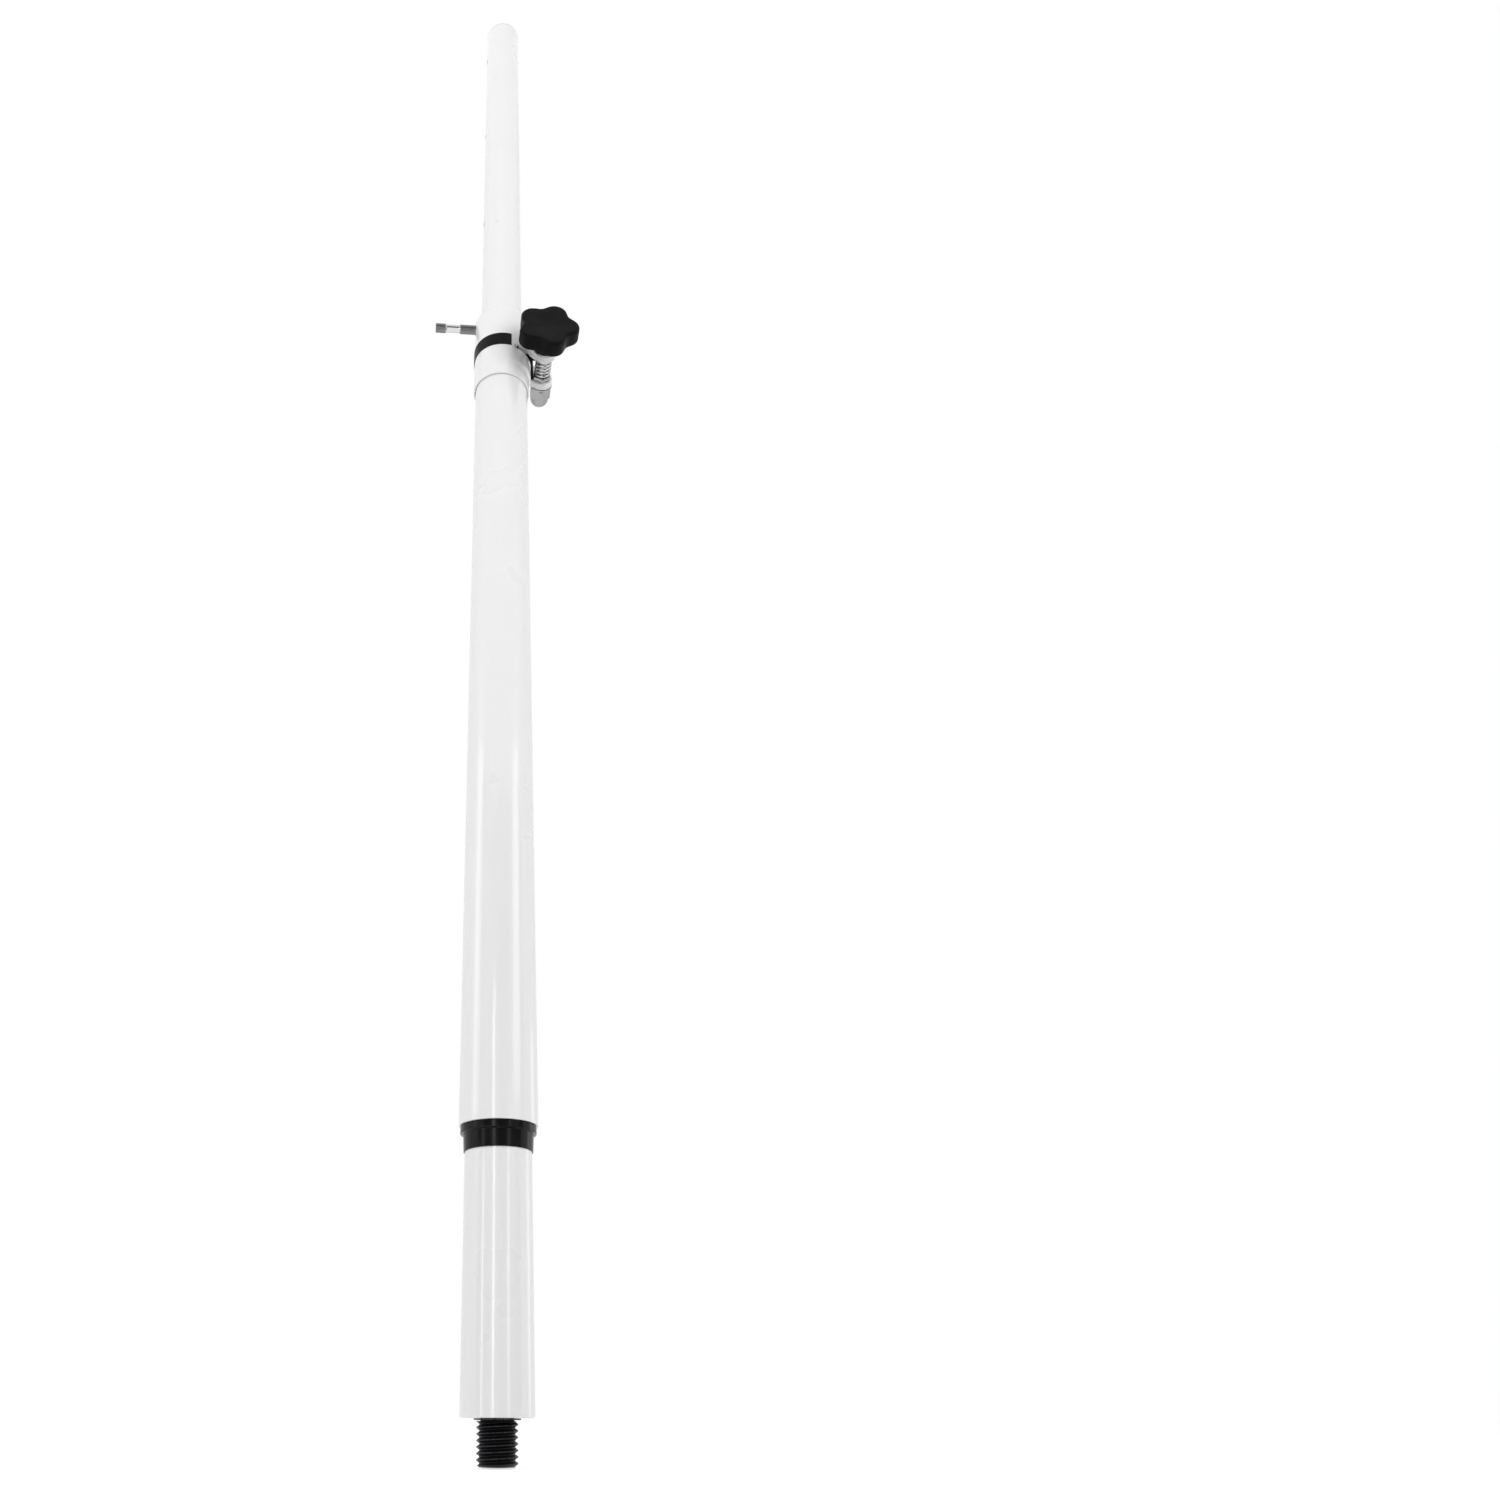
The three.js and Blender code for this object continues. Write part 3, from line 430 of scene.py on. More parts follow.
def mastTop():
    # moulded cap: a flange on the tube's end with a rounded edge and a hollow plug below it
    cap = {"flange": 17.5, "foot": 1309.4, "top": 1311.8, "round": 1.3, "plug": 15.2, "wall": 2.5, "plugFoot": 1295.3}
    flange, foot, top, rounding, plug, wall, plugFoot = cap.values()
    solid = spunSolid([
        [0, foot, 0.01], [plug - wall, foot, 0.4], [plug - wall, plugFoot, 0.4], [plug, plugFoot, 0.5],
        [plug, foot, 0.1], [flange, foot, 0.1], [flange, top, rounding], [0, top, 0.01]], 128)
    makePiece("mast_end_cap", [solid], capPlastic, "mast", "mast_cap")


# reducer bush and the screws

def reducerBush():
    # a moulded ring: tapered neck below the outer tube, a lip under its end, and a sleeve up inside it
    bush = {"bore": 18.15, "neck": 18.55, "body": 18.95, "lip": 20.5, "sleeve": 19.7, "foot": 117.6, "lipFoot": 126.6,
            "lipTop": 130.5, "top": 160.6}
    bore, neck, body, lip, sleeve, foot, lipFoot, lipTop, top = bush.values()
    ring = spunRing([
        [bore, foot, 0.15], [neck, foot, 0.3], [body, lipFoot, 0.4], [lip, lipFoot, 0.6], [lip, lipTop, 0.5],
        [sleeve, lipTop, 0.1], [sleeve, top, 0.8], [bore, top, 0.3]], 160)
    makePiece("tube_bush", [ring], bushNylon, "base", "reducer_bush")


def hexRadius(turn, across):
    # half the width across the flats over the cosine of the angle from the middle of the nearest flat
    return 0.5 * across / np.cos((turn + np.pi / 6) % (np.pi / 3) - np.pi / 6)


def hexSocket(across, rims, sides):
    # rows down a hexagon socket: each rim is a share of the hexagon's radius and a height
    rims = np.array(rims)
    turn = evenTurns(sides)
    return aroundAxis(rims[:, :1] * hexRadius(turn, across), turn, rims[:, 1:])


def socketScrew(screw):
    # a button head on a plain shank: the head's radius shrinks with a power of the way over its dome
    tip, seat, shankR, headR = screw["tip"], screw["seat"], screw["shankR"], screw["headR"]
    bevel, top = screw["bevel"], seat + screw["headT"]
    outline = [[0, tip], [shankR - bevel, tip], [shankR, tip + bevel], [shankR, seat],
               [headR - bevel / 2, seat], [headR, seat + bevel / 2]]
    dome = np.linspace(0, 1, 7)
    curve = np.stack([headR - (headR - screw["socket"] * screw["flatTop"]) * dome ** screw["domePower"],
                      seat + bevel + (screw["headT"] - bevel) * np.sin(dome * np.pi / 2)], axis=1)
    deep = top - screw["socketDeep"]
    socket = hexSocket(screw["socket"], [(1.0, top), (0.97, top - screw["socketEdge"]), (0.96, deep), (0.0, deep)],
                       screw["sides"])
    points = np.concatenate([spun(np.concatenate([outline, curve]), screw["sides"]), socket])
    return points, gridFaces(points)


def tubeScrews():
    # button heads out of the bush and the collar at two turns, and a grub screw in the bush's lip
    head = {"headR": 3.6, "headT": 1.8, "shankR": 2.0, "socket": 2.5, "socketDeep": 1.2, "socketEdge": 0.12,
            "bevel": 0.3, "flatTop": 0.75, "domePower": 1.6, "sides": 48}
    rows = {"bush_screw": {"tip": 18.45, "seat": 21.6, "height": 145.6},
            "collar_screw": {"tip": 20.1, "seat": 23.1, "height": 722.0}}
    for label, row in rows.items():
        points, faces = socketScrew({**head, **row})
        for number, degrees in ((1, 45), (2, 135)):
            placed = turnedTo(points, outwards(math.radians(degrees)), (0, 0, row["height"]))
            makePiece(f"{label}_head_{number}", [(placed, faces)], zinc, "base", f"{label}_{number}")
    grub = {"r": 1.3, "tip": 18.5, "end": 20.2, "bevel": 0.2, "turn": -95, "height": 128.55, "socket": 1.2,
            "socketDeep": 0.8, "socketTip": 0.9, "sides": 36}
    body = spun([[0, grub["tip"]], [grub["r"], grub["tip"]], [grub["r"], grub["end"] - grub["bevel"]],
                 [grub["r"] - grub["bevel"], grub["end"]]], grub["sides"])
    socket = hexSocket(grub["socket"], [[1, grub["end"]], [1, grub["end"] - grub["socketDeep"]],
                                        [0, grub["end"] - grub["socketTip"]]], grub["sides"])
    points = np.concatenate([body, socket])
    placed = turnedTo(points, outwards(math.radians(grub["turn"])), (0, 0, grub["height"]))
    makePiece("bush_grub_screw", [(placed, gridFaces(points))], oxide, "base", "bush_lip_screw")


# clamp collar: its heights are measured from its own foot

collar = {"foot": 713.0, "r": 23.0, "length": 89.0, "topRound": 4.0, "footRound": 0.5, "shoulder": 15.0,
          "shoulderRise": 4.0, "shoulderShift": 1.8, "tubeBore": 21.58, "step": 31.5, "linerBore": 19.4, "lip": 18.0,
          "lipUp": 85.4, "kerfFoot": 34.7, "kerfTop": 39.2, "kerfStart": 24.0, "kerfReach": 25.2, "jawHalf": 11.2,
          "earT": 6.2, "boltX": 35.6, "boltUp": 37.9, "earR": 9.3, "heelX": 24.6, "heelUp": 34.4, "notchX": 21.4,
          "rootX": 14.0, "rootUp": 63.9, "boltHole": 5.3, "pinHole": 4.3, "pinUp": 81.5, "screwHole": 2.3,
          "screwUp": 9.0, "fillet": 3.5, "edge": 0.9, "boreEdge": 0.3, "slitEdge": 0.9, "kerfEdge": 0.6,
          "pinEdge": 0.5, "boltEdge": 0.4, "voxel": 0.62, "passes": 7, "longestMove": 0.8, "normalStep": 0.12}
boltMiddle = np.array([collar["boltX"], 0, collar["foot"] + collar["boltUp"]])


def smoothMin(a, b, reach):
    # the lower of two distances, with a rounded hollow of about this size where they meet
    blend = np.maximum(reach - np.abs(a - b), 0) / reach
    return np.minimum(a, b) - blend**2 * reach / 4


def cutAway(solid, hole, reach):
    # the higher of the solid's distance and the hole's distance turned round, with an edge rounded by about this
    return -smoothMin(-solid, hole, reach)


def plateDistance(sideways, through, rounding):
    # distance to a plate from the distance to its outline and the distance past its faces, edges rounded
    q = np.stack([sideways + rounding, through + rounding])
    return np.minimum(q.max(axis=0), 0) + np.linalg.norm(np.maximum(q, 0), axis=0) - rounding


def bodyRadius(turn, height):
    # the collar's wall: round, and above the shoulder pushed out towards the ears by a share of cos turn,
    # which a square root brings softly to nothing on the other side
    softness = 0.04
    rise = np.clip((height - collar["shoulder"]) / collar["shoulderRise"], 0, 1)
    push = collar["shoulderShift"] * np.cos(turn)
    push = (push + np.sqrt(push**2 + softness)) / 2
    return collar["r"] + rise**2 * (3 - 2 * rise) * push


def outlineDistance(x, z, corners):
    # signed distance to a closed outline: the nearest point on any side, negative inside, where a ray
    # crosses the outline an odd number of times
    start = np.asarray(corners, float)
    side = np.roll(start, -1, axis=0) - start
    px, pz = x[:, None] - start[:, 0], z[:, None] - start[:, 1]
    along = np.clip((px * side[:, 0] + pz * side[:, 1]) / (side**2).sum(axis=1), 0, 1)
    gap = np.hypot(px - along * side[:, 0], pz - along * side[:, 1]).min(axis=1)
    below, above = pz >= 0, pz < side[:, 1]
    left = side[:, 0] * pz > side[:, 1] * px
    crossing = (below & above & left) | (~below & ~above & ~left)
    return np.where(crossing.sum(axis=1) % 2 == 1, -gap, gap)


def bossTouch(x, z, side):
    # where a line from a point touches the ear's round boss
    dx, dz = collar["boltX"] - x, collar["boltUp"] - z
    length = math.hypot(dx, dz)
    angle = math.atan2(dz, dx) + side * math.asin(collar["earR"] / length)
    along = math.sqrt(length**2 - collar["earR"] ** 2)
    return [x + along * math.cos(angle), z + along * math.sin(angle)]


def earDistance(x, y, z, middleY, feet):
    # an ear: the round boss joined to the collar's wall by the outline of its two tangents
    heel, root = [collar["heelX"], collar["heelUp"]], [collar["rootX"], collar["rootUp"]]
    outline = [*feet, heel, bossTouch(*heel, -1), bossTouch(*root, 1), root]
    boss = np.hypot(x - collar["boltX"], z - collar["boltUp"]) - collar["earR"]
    sideways = np.minimum(boss, outlineDistance(x, z, outline))
    return plateDistance(sideways, np.abs(y - middleY) - collar["earT"] / 2, collar["edge"])


def collarDistance(p):
    # signed distance to the collar: wall and ears joined with a fillet, then the bores, the slit, the kerf
    # and the holes taken away, all but the screws' with a slightly rounded edge
    x, y, z = p.T
    r = np.hypot(x, y)
    middle = collar["length"] / 2
    rounding = np.where(z > middle, collar["topRound"], collar["footRound"])
    body = plateDistance(r - bodyRadius(np.arctan2(y, x), z), np.abs(z - middle) - middle, rounding)
    earMiddle = collar["jawHalf"] + collar["earT"] / 2
    nearFeet = [[collar["rootX"], collar["kerfTop"]], [collar["notchX"], collar["kerfTop"]]]
    near = earDistance(x, y, z, -earMiddle, nearFeet)
    far = earDistance(x, y, z, earMiddle, [[collar["rootX"], collar["heelUp"]]])
    solid = smoothMin(smoothMin(body, near, collar["fillet"]), far, collar["fillet"])
    bore = np.maximum(r - collar["tubeBore"], z - collar["step"])
    bore = np.minimum(bore, np.maximum(r - collar["linerBore"], z - collar["lipUp"]))
    bore = np.minimum(bore, r - collar["lip"])
    slit = np.maximum(np.maximum(np.abs(y) - collar["jawHalf"], -x), collar["kerfFoot"] - z)
    start = math.radians(collar["kerfStart"] - 90)
    wedge = np.maximum(math.sin(start) * x - math.cos(start) * y, y)
    kerf = np.maximum(z - collar["kerfTop"], collar["kerfFoot"] - z)
    kerf = np.maximum(kerf, np.maximum(r - collar["kerfReach"], wedge))
    pinHole = np.maximum(np.hypot(y, z - collar["pinUp"]) - collar["pinHole"], x)
    boltHole = np.hypot(x - collar["boltX"], z - collar["boltUp"]) - collar["boltHole"]
    for hole, edge in ((bore, "boreEdge"), (slit, "slitEdge"), (kerf, "kerfEdge"), (pinHole, "pinEdge"),
                       (boltHole, "boltEdge")):
        solid = cutAway(solid, hole, collar[edge])
    for degrees in (45, 135):
        c, s = math.cos(math.radians(degrees)), math.sin(math.radians(degrees))
        hole = np.maximum(np.hypot(x * s - y * c, z - collar["screwUp"]) - collar["screwHole"], -(x * c + y * s))
        solid = np.maximum(solid, -hole)
    return solid


def slopeOf(distance, p, step=0.03):
    # the distance's slope from its change over a small step each way along X, Y and Z
    shifts = np.eye(3) * step
    return np.stack([(distance(p + shift) - distance(p - shift)) / (2 * step) for shift in shifts], axis=1)


def clampCollar():
    # the solid collar's own surface, remeshed into even small faces, moved on to the collar's distance = 0:
    # each pass takes a point down the slope by distance / slope squared, and never far at once
    source = bpy.data.objects.new("collar_base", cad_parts["clamp_collar"].data.copy())
    bpy.context.scene.collection.objects.link(source)
    work = bmesh.new()
    work.from_mesh(source.data)
    bmesh.ops.remove_doubles(work, verts=work.verts, dist=weld)
    work.to_mesh(source.data)
    work.free()
    voxels = source.modifiers.new("voxels", "REMESH")
    voxels.mode = "VOXEL"
    voxels.voxel_size = collar["voxel"] * mm
    even = bpy.data.meshes.new_from_object(source.evaluated_get(bpy.context.evaluated_depsgraph_get()))
    bpy.data.objects.remove(source)
    flat = np.empty(len(even.vertices) * 3)
    even.vertices.foreach_get("co", flat)
    points = flat.reshape(-1, 3) / mm - [0, 0, collar["foot"]]
    leastSlope, tiny = 0.25, 1e-9  # these keep a flat spot from throwing a point away
    for _ in range(collar["passes"]):
        slope = slopeOf(collarDistance, points)
        steep = np.maximum((slope**2).sum(axis=1, keepdims=True), leastSlope)
        move = -collarDistance(points)[:, None] * slope / steep
        far = np.maximum(np.linalg.norm(move, axis=1, keepdims=True), tiny)
        points = points + move * np.minimum(1, collar["longestMove"] / far)
    normals = slopeOf(collarDistance, points, collar["normalStep"])
    normals /= np.maximum(np.linalg.norm(normals, axis=1, keepdims=True), tiny)
    even.name = "clamp_body"
    even.vertices.foreach_set("co", ((points + [0, 0, collar["foot"]]) * mm).ravel())
    even.shade_smooth()
    even.normals_split_custom_set_from_vertices(normals.tolist())
    even.update()
    addPiece("clamp_body", even, coat, "base", "clamp_collar")
    off = np.abs(collarDistance(points)).max()
    print("collar surface:", len(points), "points, off by at most", round(float(off), 3), "mm")


def labelBand():
    # a thin skin carried round the collar's wall: its closed cross-section rides at the wall's radius
    label = {"foot": 35.7, "top": 49.9, "under": 0.1, "over": 0.45, "from": -191.3, "to": -73.3, "columns": 110}
    turn = np.radians(np.linspace(label["from"], label["to"], label["columns"]))[:, None]
    low, high, under, over = (label[key] for key in ("foot", "top", "under", "over"))
    outline = softCorners([[under, low, 0.05], [over, low, 0.15], [over, high, 0.15], [under, high, 0.05]], 3)
    height = outline[None, :, 1]
    points = capped(aroundAxis(bodyRadius(turn, height) + outline[None, :, 0], turn, height + collar["foot"]))
    makePiece("blank_label", [(points, gridFaces(points))], labelFilm, "base", "label_band")


# bolt, spring, nuts and washers: each one's local heights run along the bolt from the pole's front to its back

def onBolt(points, y=0.0):
    return turnedTo(points, towardsBack, boltMiddle + [0, y, 0])


def hexRows(nut):
    # the hexagon's radius, held inside a cone at either end that bevels its corners
    spare = 0.02  # the cone ends this share outside the corners
    turn = evenTurns(nut["sides"])
    edge = np.linspace(0, nut["neck"], 9)
    height = np.concatenate([edge, [nut["hexT"] / 2], nut["hexT"] - edge[::-1]])[:, None]
    spread = nut["across"] * 0.5 * (2 / math.sqrt(3) - nut["face"] + spare)
    cone = 0.5 * nut["across"] * nut["face"] + np.minimum(height, nut["hexT"] - height) / nut["neck"] * spread
    return aroundAxis(np.minimum(hexRadius(turn, nut["across"]), cone), turn, height)


def clampBolt():
    # radius over height and turn along the bolt: rolled thread at both ends, a plain bright shank between
    bolt = {"crest": 5.0, "depth": 0.82, "pitch": 1.5, "start": 0.0, "crestFlat": 0.12, "rootFlat": 0.15,
            "from": -36.2, "to": 32.2, "plainFrom": -9.5, "plainTo": 4.5, "plainR": 4.45, "bevel": 0.8, "sides": 72,
            "rowsPerTurn": 10}
    rows = int((bolt["to"] - bolt["from"]) / bolt["pitch"] * bolt["rowsPerTurn"])
    height = np.linspace(bolt["from"], bolt["to"], rows)[:, None]
    turn = evenTurns(bolt["sides"])
    inPlain = np.minimum(height - bolt["plainFrom"], bolt["plainTo"] - height)
    r = np.where(inPlain > 0, bolt["plainR"], threadRadius(turn, height - bolt["from"], bolt))
    end = np.minimum(height - bolt["from"], bolt["to"] - height)
    r = np.minimum(r, bolt["crest"] - bolt["bevel"] + end)
    first, last = (spun([[0, bolt[key]]], bolt["sides"]) for key in ("from", "to"))
    points = np.concatenate([first, aroundAxis(r, turn, height), last])
    makePiece("clamp_stud", [(onBolt(points), gridFaces(points))], turnedZinc, "base", "clamp_bolt")


def jawSpring():
    # a wire wound round the bolt: turn a along it, angle t round it, wire radius w, coil radius c:
    # x = (c + w cos t) cos a, y = (c + w cos t) sin a, height = rise with a + w sin t, flat at both ends
    spring = {"coil": 6.2, "wire": 0.9, "from": -10.2, "to": 6.1, "turns": 4.6, "steps": 72, "sides": 20}
    share = np.linspace(0, 1, int(spring["turns"] * spring["steps"]) + 1)[:, None]
    t = evenTurns(spring["sides"])
    height = spring["from"] + (spring["to"] - spring["from"]) * share + spring["wire"] * np.sin(t)
    points = aroundAxis(spring["coil"] + spring["wire"] * np.cos(t), share * spring["turns"] * 2 * np.pi, height)
    points = capped(points)
    makePiece("coil_spring", [(onBolt(points), gridFaces(points))], springSteel, "base", "jaw_spring")


def nutsAndWashers():
    # hexagons with a plain bore; the cap nut goes on into a dome whose foot has a small hollow turned round it
    inner = {"across": 14.0, "hexT": 4.0, "neck": 0.7, "face": 0.95, "hole": 5.25, "y": 7.1, "sides": 144}
    cap = {"across": 17.0, "hexT": 10.5, "neck": 1.0, "face": 0.95, "domeR": 7.8, "domeTop": 22.0, "hole": 5.3,
           "holeDeep": 13.3, "hollow": [[0.35, 0], [0.08, 0.12], [0, 0.4]], "y": 19.2, "sides": 144}
    washer = {"inner": 5.3, "outer": 9.5, "foot": 0, "top": 1.6, "soft": 0.25, "sides": 96}
    bore = spun([[inner["hole"], inner["hexT"]], [inner["hole"], 0.0]], inner["sides"])
    ring = np.concatenate([hexRows(inner), bore])
    placed = onBolt(ring, inner["y"])
    makePiece("jam_nut", [(placed, gridFaces(ring, closeRows=True))], zinc, "base", "inner_nut")
    arc = np.linspace(0, np.pi / 2, 22)
    neck = cap["domeTop"] - cap["domeR"]
    dome = np.stack([cap["domeR"] * np.cos(arc), neck + cap["domeR"] * np.sin(arc)], axis=1)
    dome = np.concatenate([np.array(cap["hollow"]) + [cap["domeR"], cap["hexT"]], dome])
    hole = spun([[0, cap["holeDeep"]], [cap["hole"], cap["holeDeep"]], [cap["hole"], 0.0]], cap["sides"])
    points = np.concatenate([hole, hexRows(cap), spun(dome, cap["sides"])])
    placed = onBolt(points, cap["y"])
    makePiece("domed_nut", [(placed, gridFaces(points))], zinc, "base", "cap_nut")
    points, faces = squareRing(**washer)
    for name, y, carrier, node in (("back_washer", 17.5, "base", "nut_washer"),
                                   ("front_washer", -19.1, "washer", "knob_washer")):
        makePiece(name, [(onBolt(points, y), faces)], zinc, carrier, node)


# star knob and locking pin

def starKnob():
    # rows from the bore out over the hub and round the star; in the star a row's radius is the lobed
    # outline less an inset, and the front face sinks a little from its rim to the middle
    knob = {"r": 25.9, "dip": 5.0, "lobes": 5, "shape": 1.3, "turn": -4.0, "hubR": 12.0, "hubT": 11.0, "t": 14.0,
            "edge": 2.6, "edgeRows": 8, "backInset": 3.2, "faceInset": 3.4, "faceStart": 0.94, "faceRows": 14,
            "bore": 7.8, "boreDeep": 18.8, "back": -19.2, "dish": 0.7, "sides": 280}
    turn = evenTurns(knob["sides"])
    lobed = knob["r"] - knob["dip"] * ((1 - np.cos(knob["lobes"] * turn)) / 2) ** knob["shape"]
    hub = softCorners([
        [knob["bore"], knob["boreDeep"], 0.2], [knob["bore"], 0, 0.6], [knob["hubR"] - 2, 0, 0.8],
        [knob["hubR"], knob["hubT"], 1.2], [knob["hubR"] + 4, knob["hubT"], 0.01]], 5)[4:-5]
    hubPoints = spun(np.concatenate([[[0, knob["boreDeep"]]], hub]), knob["sides"])
    foot, front, edge = knob["hubT"], knob["hubT"] + knob["t"], knob["edge"]
    arc = np.linspace(0, np.pi / 2, knob["edgeRows"])
    backEdge = np.stack([edge * (1 - np.sin(arc)), foot + edge * (1 - np.cos(arc))], axis=1)
    frontEdge = np.stack([edge * (1 - np.cos(arc)), front - edge * (1 - np.sin(arc))], axis=1)
    starRows = np.concatenate([[[knob["backInset"], foot]], backEdge, frontEdge, [[knob["faceInset"], front]]])
    star = aroundAxis(lobed - starRows[:, :1], turn, starRows[:, 1:])
    share = np.linspace(knob["faceStart"], 0, knob["faceRows"])[:, None]
    sunk = front - knob["dish"] * np.sin((1 - share) * np.pi / 2) ** 2
    face = aroundAxis((lobed - knob["faceInset"]) * share, turn, sunk)
    points = np.concatenate([hubPoints, star, face])
    c, s = math.cos(math.radians(knob["turn"])), math.sin(math.radians(knob["turn"]))
    local = points.reshape(-1, 3) @ np.array([[c, s, 0], [-s, c, 0], [0, 0, 1]])
    placed = turnedTo(local, towardsFront, boltMiddle + [0, knob["back"], 0])
    makePiece("lobed_knob", [(placed, gridFaces(points))], nylon, "knob", "star_knob")


def lockingPin():
    # turned pin: plain nose in the collar, a slimmer bright waist, and a grip at the outer end
    pin = {"r": 4.0, "waist": 3.4, "nose": 18.0, "waistFrom": 36.4, "waistTo": 48.7, "slope": 0.7, "end": 57.5,
           "height": 794.5}
    r, waist, nose, waistFrom, waistTo, slope, end, height = pin.values()
    points, faces = spunSolid([
        [0, nose, 0.01], [r, nose, 0.7], [r, waistFrom, 0.25], [waist, waistFrom + slope, 0.4],
        [waist, waistTo - slope, 0.4], [r, waistTo, 0.25], [r, end, 0.7], [0, end, 0.01]], 72)
    placed = turnedTo(points, towardsLeft, (0, 0, height))
    makePiece("push_pin", [(placed, faces)], pinPlate, "pin", "locking_pin")


threadedStud()
footFittings()
plainTubes()
mastPole()
mastTop()
reducerBush()
tubeScrews()
print("tubes, bush and screws made")
clampCollar()
labelBand()
clampBolt()
jawSpring()
nutsAndWashers()
starKnob()
lockingPin()
print("clamp made")

# solids that stay as they are, in their real finishes
keptNodes = {"stud_roll_pin": zinc, "lower_guide_ring": nylon, "landing_buffer": softRubber, "clamp_liner": nylon,
             "knob_insert": brassTurned, "mast_guide": nylon, "guide_rivet_1": zinc, "guide_rivet_2": zinc}
for nodeName, finish in keptNodes.items():
    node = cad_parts[nodeName]
    node.data.materials.clear()
    node.data.materials.append(finish)


# camera: focal length and centre in pixels of the picture, the place in metres, the angles in degrees

def placeCamera():
    view = {"focal": 1078.4, "imageWidth": 1500, "centreX": 500.1, "centreY": 711.12, "away": 0.607, "height": 0.0,
            "turn": -3.889, "tilt": 33.245, "roll": 0.224, "sensor": 36.0, "nearest": 0.01}
    turn, tilt, roll = (math.radians(view[key]) for key in ("turn", "tilt", "roll"))
    ahead = np.array([-math.sin(turn) * math.cos(tilt), math.cos(turn) * math.cos(tilt), math.sin(tilt)])
    right = np.array([math.cos(turn), math.sin(turn), 0])
    up = np.cross(right, ahead)
    right, up = right * math.cos(roll) + up * math.sin(roll), up * math.cos(roll) - right * math.sin(roll)
    camera = bpy.data.objects.new("camera", bpy.data.cameras.new("camera"))
    camera.data.sensor_width = view["sensor"]
    camera.data.sensor_fit = "HORIZONTAL"
    camera.data.lens = view["focal"] * view["sensor"] / view["imageWidth"]
    camera.data.shift_x = (view["imageWidth"] / 2 - view["centreX"]) / view["imageWidth"]
    camera.data.shift_y = (view["centreY"] - view["imageWidth"] / 2) / view["imageWidth"]
    camera.data.clip_start = view["nearest"]
    placing = np.eye(4)
    placing[:3, 0], placing[:3, 1], placing[:3, 2] = right, up, -ahead
    placing[:3, 3] = view["away"] * math.sin(turn), -view["away"] * math.cos(turn), view["height"]
    camera.matrix_world = Matrix(placing.tolist())
    bpy.context.scene.collection.objects.link(camera)
    bpy.context.scene.camera = camera


# floor, lamps and background, in metres

def seenDirectly(tree):
    # 1 for what the camera, a mirror or clear glass looks at, and 0 for the light on a dull surface
    ray = addNode(tree, "ShaderNodeLightPath")
    seen = ray.outputs["Is Camera Ray"]
    for kind in ("Is Glossy Ray", "Is Transmission Ray"):
        both = addNode(tree, "ShaderNodeMath", {0: seen, 1: ray.outputs[kind]}, operation="ADD", use_clamp=True)
        seen = both.outputs[0]
    return seen


def addSheet(name, corners, paper):
    # one flat face of the set, which isn't part of the pole
    mesh = bpy.data.meshes.new(name)
    mesh.from_pydata(corners, [], [(0, 1, 2, 3)])
    mesh.materials.append(paper)
    sheet = bpy.data.objects.new(name, mesh)
    bpy.context.scene.collection.objects.link(sheet)
    return sheet


def levelCorners(left, right, front, back, z):
    return [(left, front, z), (right, front, z), (right, back, z), (left, back, z)]


def paleFloor():
    # a wide pale sheet just under the stud: the camera and mirror-like metal see it white, with the shadow kept
    floor = {"half": 1.7, "level": -0.0196, "white": "#D4D4D4", "lift": 0.6}
    half = floor["half"]
    finish, tree, shader, _ = newFinish("pale_floor", **{
        "Base Color": linear(floor["white"]), "Roughness": 0.9, "Specular IOR Level": 0.0,
        "Emission Color": (1, 1, 1, 1)})
    lift = addNode(tree, "ShaderNodeMath", {0: seenDirectly(tree), 1: floor["lift"]}, operation="MULTIPLY")
    tree.links.new(lift.outputs[0], shader.inputs["Emission Strength"])
    addSheet("floor", levelCorners(-half, half, -half, half, floor["level"]), finish)


def background():
    # white to the eye and in mirrors, and about half as strong as light
    asLight, asSeen = 0.56, 1.0
    world = bpy.data.worlds.new("studio")
    bpy.context.scene.world = world
    world.use_nodes = True
    tree = world.node_tree
    strength = addNode(tree, "ShaderNodeMapRange", {0: seenDirectly(tree), 1: 0.0, 2: 1.0, 3: asLight, 4: asSeen})
    tree.nodes["Background"].inputs["Color"].default_value = (1, 1, 1, 1)
    tree.links.new(strength.outputs[0], tree.nodes["Background"].inputs["Strength"])


def aimedAt(origin, target):
    # a lamp shines down its local Z axis, so that axis points from the target back to the lamp
    back = np.asarray(origin, float) - np.asarray(target, float)
    back /= np.linalg.norm(back)
    side = np.cross([0, 0, 1], back)
    side /= np.linalg.norm(side)
    placing = np.eye(4)
    placing[:3, 0], placing[:3, 1], placing[:3, 2], placing[:3, 3] = side, np.cross(back, side), back, origin
    return Matrix(placing.tolist())


def roundThePole(azimuth, distance, height):
    # azimuth in degrees from the camera's side, positive towards the clamp ears
    a = math.radians(azimuth)
    return (distance * math.sin(a), -distance * math.cos(a), height)


def addLamp(name, origin, target, wide, tall, strength):
    # strength is the lamp's brightness beside white paper: watts = strength x pi x area
    light = bpy.data.lights.new(name, "AREA")
    light.shape = "RECTANGLE"
    light.size, light.size_y = wide, tall
    light.energy = strength * math.pi * wide * tall
    holder = bpy.data.objects.new(name, light)
    holder.matrix_world = aimedAt(origin, target)
    bpy.context.scene.collection.objects.link(holder)
    return holder


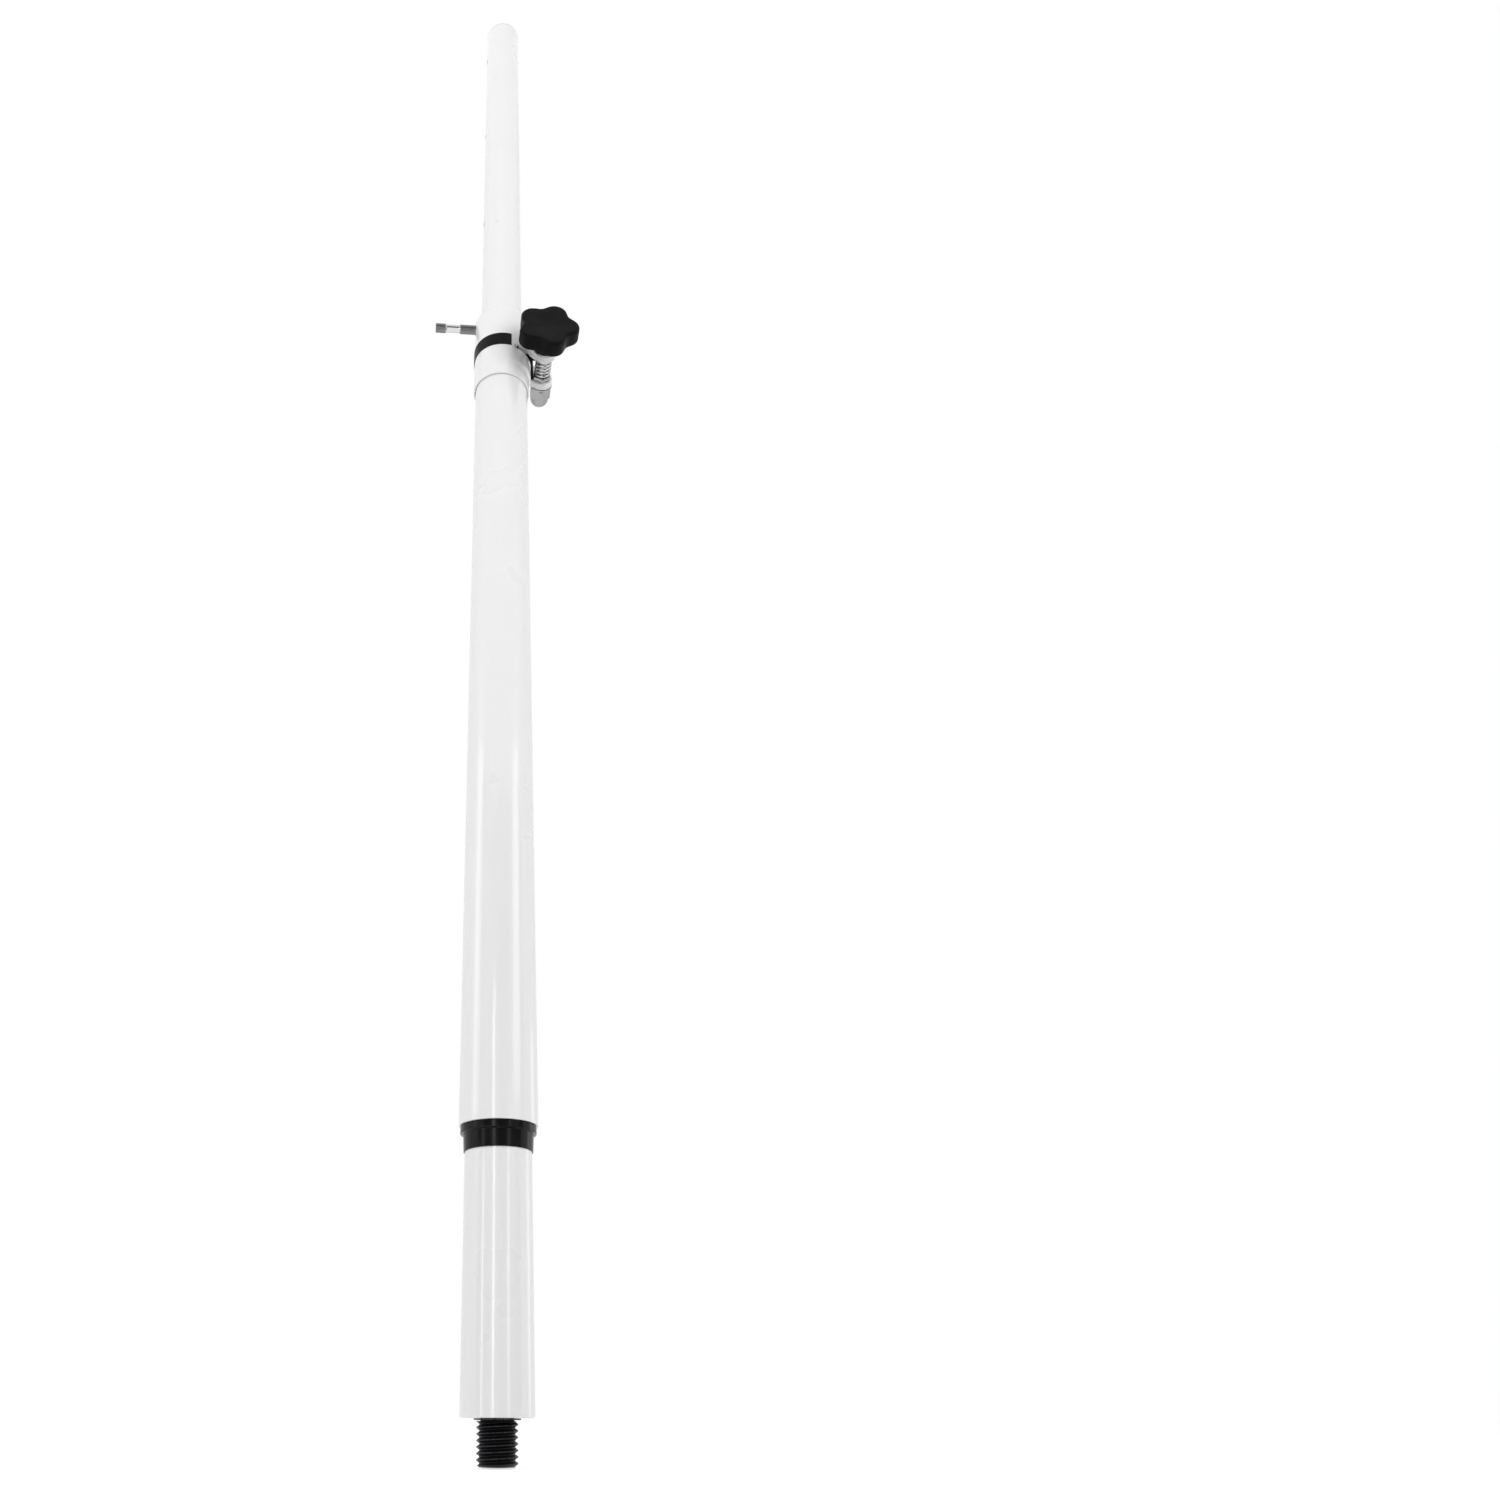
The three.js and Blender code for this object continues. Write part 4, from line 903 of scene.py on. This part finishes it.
def softLamps():
    # soft boxes for the even light, and strips that only show as faint streaks on the gloss paint:
    # the middle of a streak stands halfway, as an angle round the tube, between the camera and its strip
    boxes = {"key": (-66, 2.4, 1.9, 2.2, 2.0, 1.8), "fill": (52, 2.0, 0.9, 1.8, 1.5, 1.22),
             "back": (172, 2.6, 2.2, 2.2, 2.2, 0.9), "leftLow": (-42, 1.9, 0.85, 0.6, 1.0, 3.3),
             "rightLow": (54, 1.9, 0.9, 0.6, 1.0, 3.4)}  # azimuth, distance, height, width, tallness, strength
    strips = {"left": (-73, 0.55, 1.52, 0.66, 1.85), "lowLeft": (-54, -0.01, 0.48, 0.2, 3.4),
              "nearLeft": (-18, -0.01, 0.85, 0.24, 4.2), "nearRight": (30, -0.01, 0.56, 0.22, 2.8),
              "right": (50, 0.6, 1.5, 0.74, 1.8),
              "farRight": (112, -0.01, 0.75, 0.45, 1.1)}  # azimuth, foot, top, width, strength
    poleMiddle, stripDistance = (0, 0, 0.9), 1.9
    for name, (azimuth, distance, height, wide, tall, strength) in boxes.items():
        box = addLamp(name, roundThePole(azimuth, distance, height), poleMiddle, wide, tall, strength)
        box.visible_glossy = False
    for name, (azimuth, low, high, wide, strength) in strips.items():
        middle = (low + high) / 2
        origin = roundThePole(azimuth, stripDistance, middle)
        strip = addLamp(name + "Strip", origin, (0, 0, middle), wide, high - low, strength)
        strip.visible_diffuse = False


def greyCards():
    # cards seen only in reflections: dark ones in front keep black plastic black and tone the white paint
    # between its streaks, the pale ones behind draw a thin darker line down both sides of the tubes, and the
    # mat on the floor darkens the lower half of the pin's waist
    cards = {"front": (-24, 24, 2.1, 0.14), "frontLeft": (-74, -24, 2.1, 0.14), "frontRight": (24, 74, 2.1, 0.14),
             "sideLeft": (-165, -90, 6.5, 0.88), "sideRight": (90, 165, 6.5, 0.88)}  # azimuths of both edges, top, tone
    distance, low = 3.4, -0.02
    mat = {"left": 0.0, "right": 0.8, "front": -2.0, "back": -0.12, "z": -0.0194}
    matTone = 0.12
    sheets = {name: ([roundThePole(azimuth, distance, height) for azimuth, height in
                      ((left, low), (right, low), (right, top), (left, top))], tone)
              for name, (left, right, top, tone) in cards.items()}
    sheets["mat"] = (levelCorners(**mat), matTone)
    for name, (corners, tone) in sheets.items():
        paper = newFinish(name + "_paper", **{"Base Color": (0, 0, 0, 1), "Specular IOR Level": 0.0,
                                              "Emission Color": (1, 1, 1, 1), "Emission Strength": tone})[0]
        card = addSheet(name + "_card", corners, paper)
        card.visible_camera = card.visible_diffuse = card.visible_transmission = card.visible_shadow = False
        card.visible_volume_scatter = False


placeCamera()
paleFloor()
background()
softLamps()
greyCards()
bpy.context.scene.view_settings.view_transform = "Standard"
print("camera, floor and lamps set")
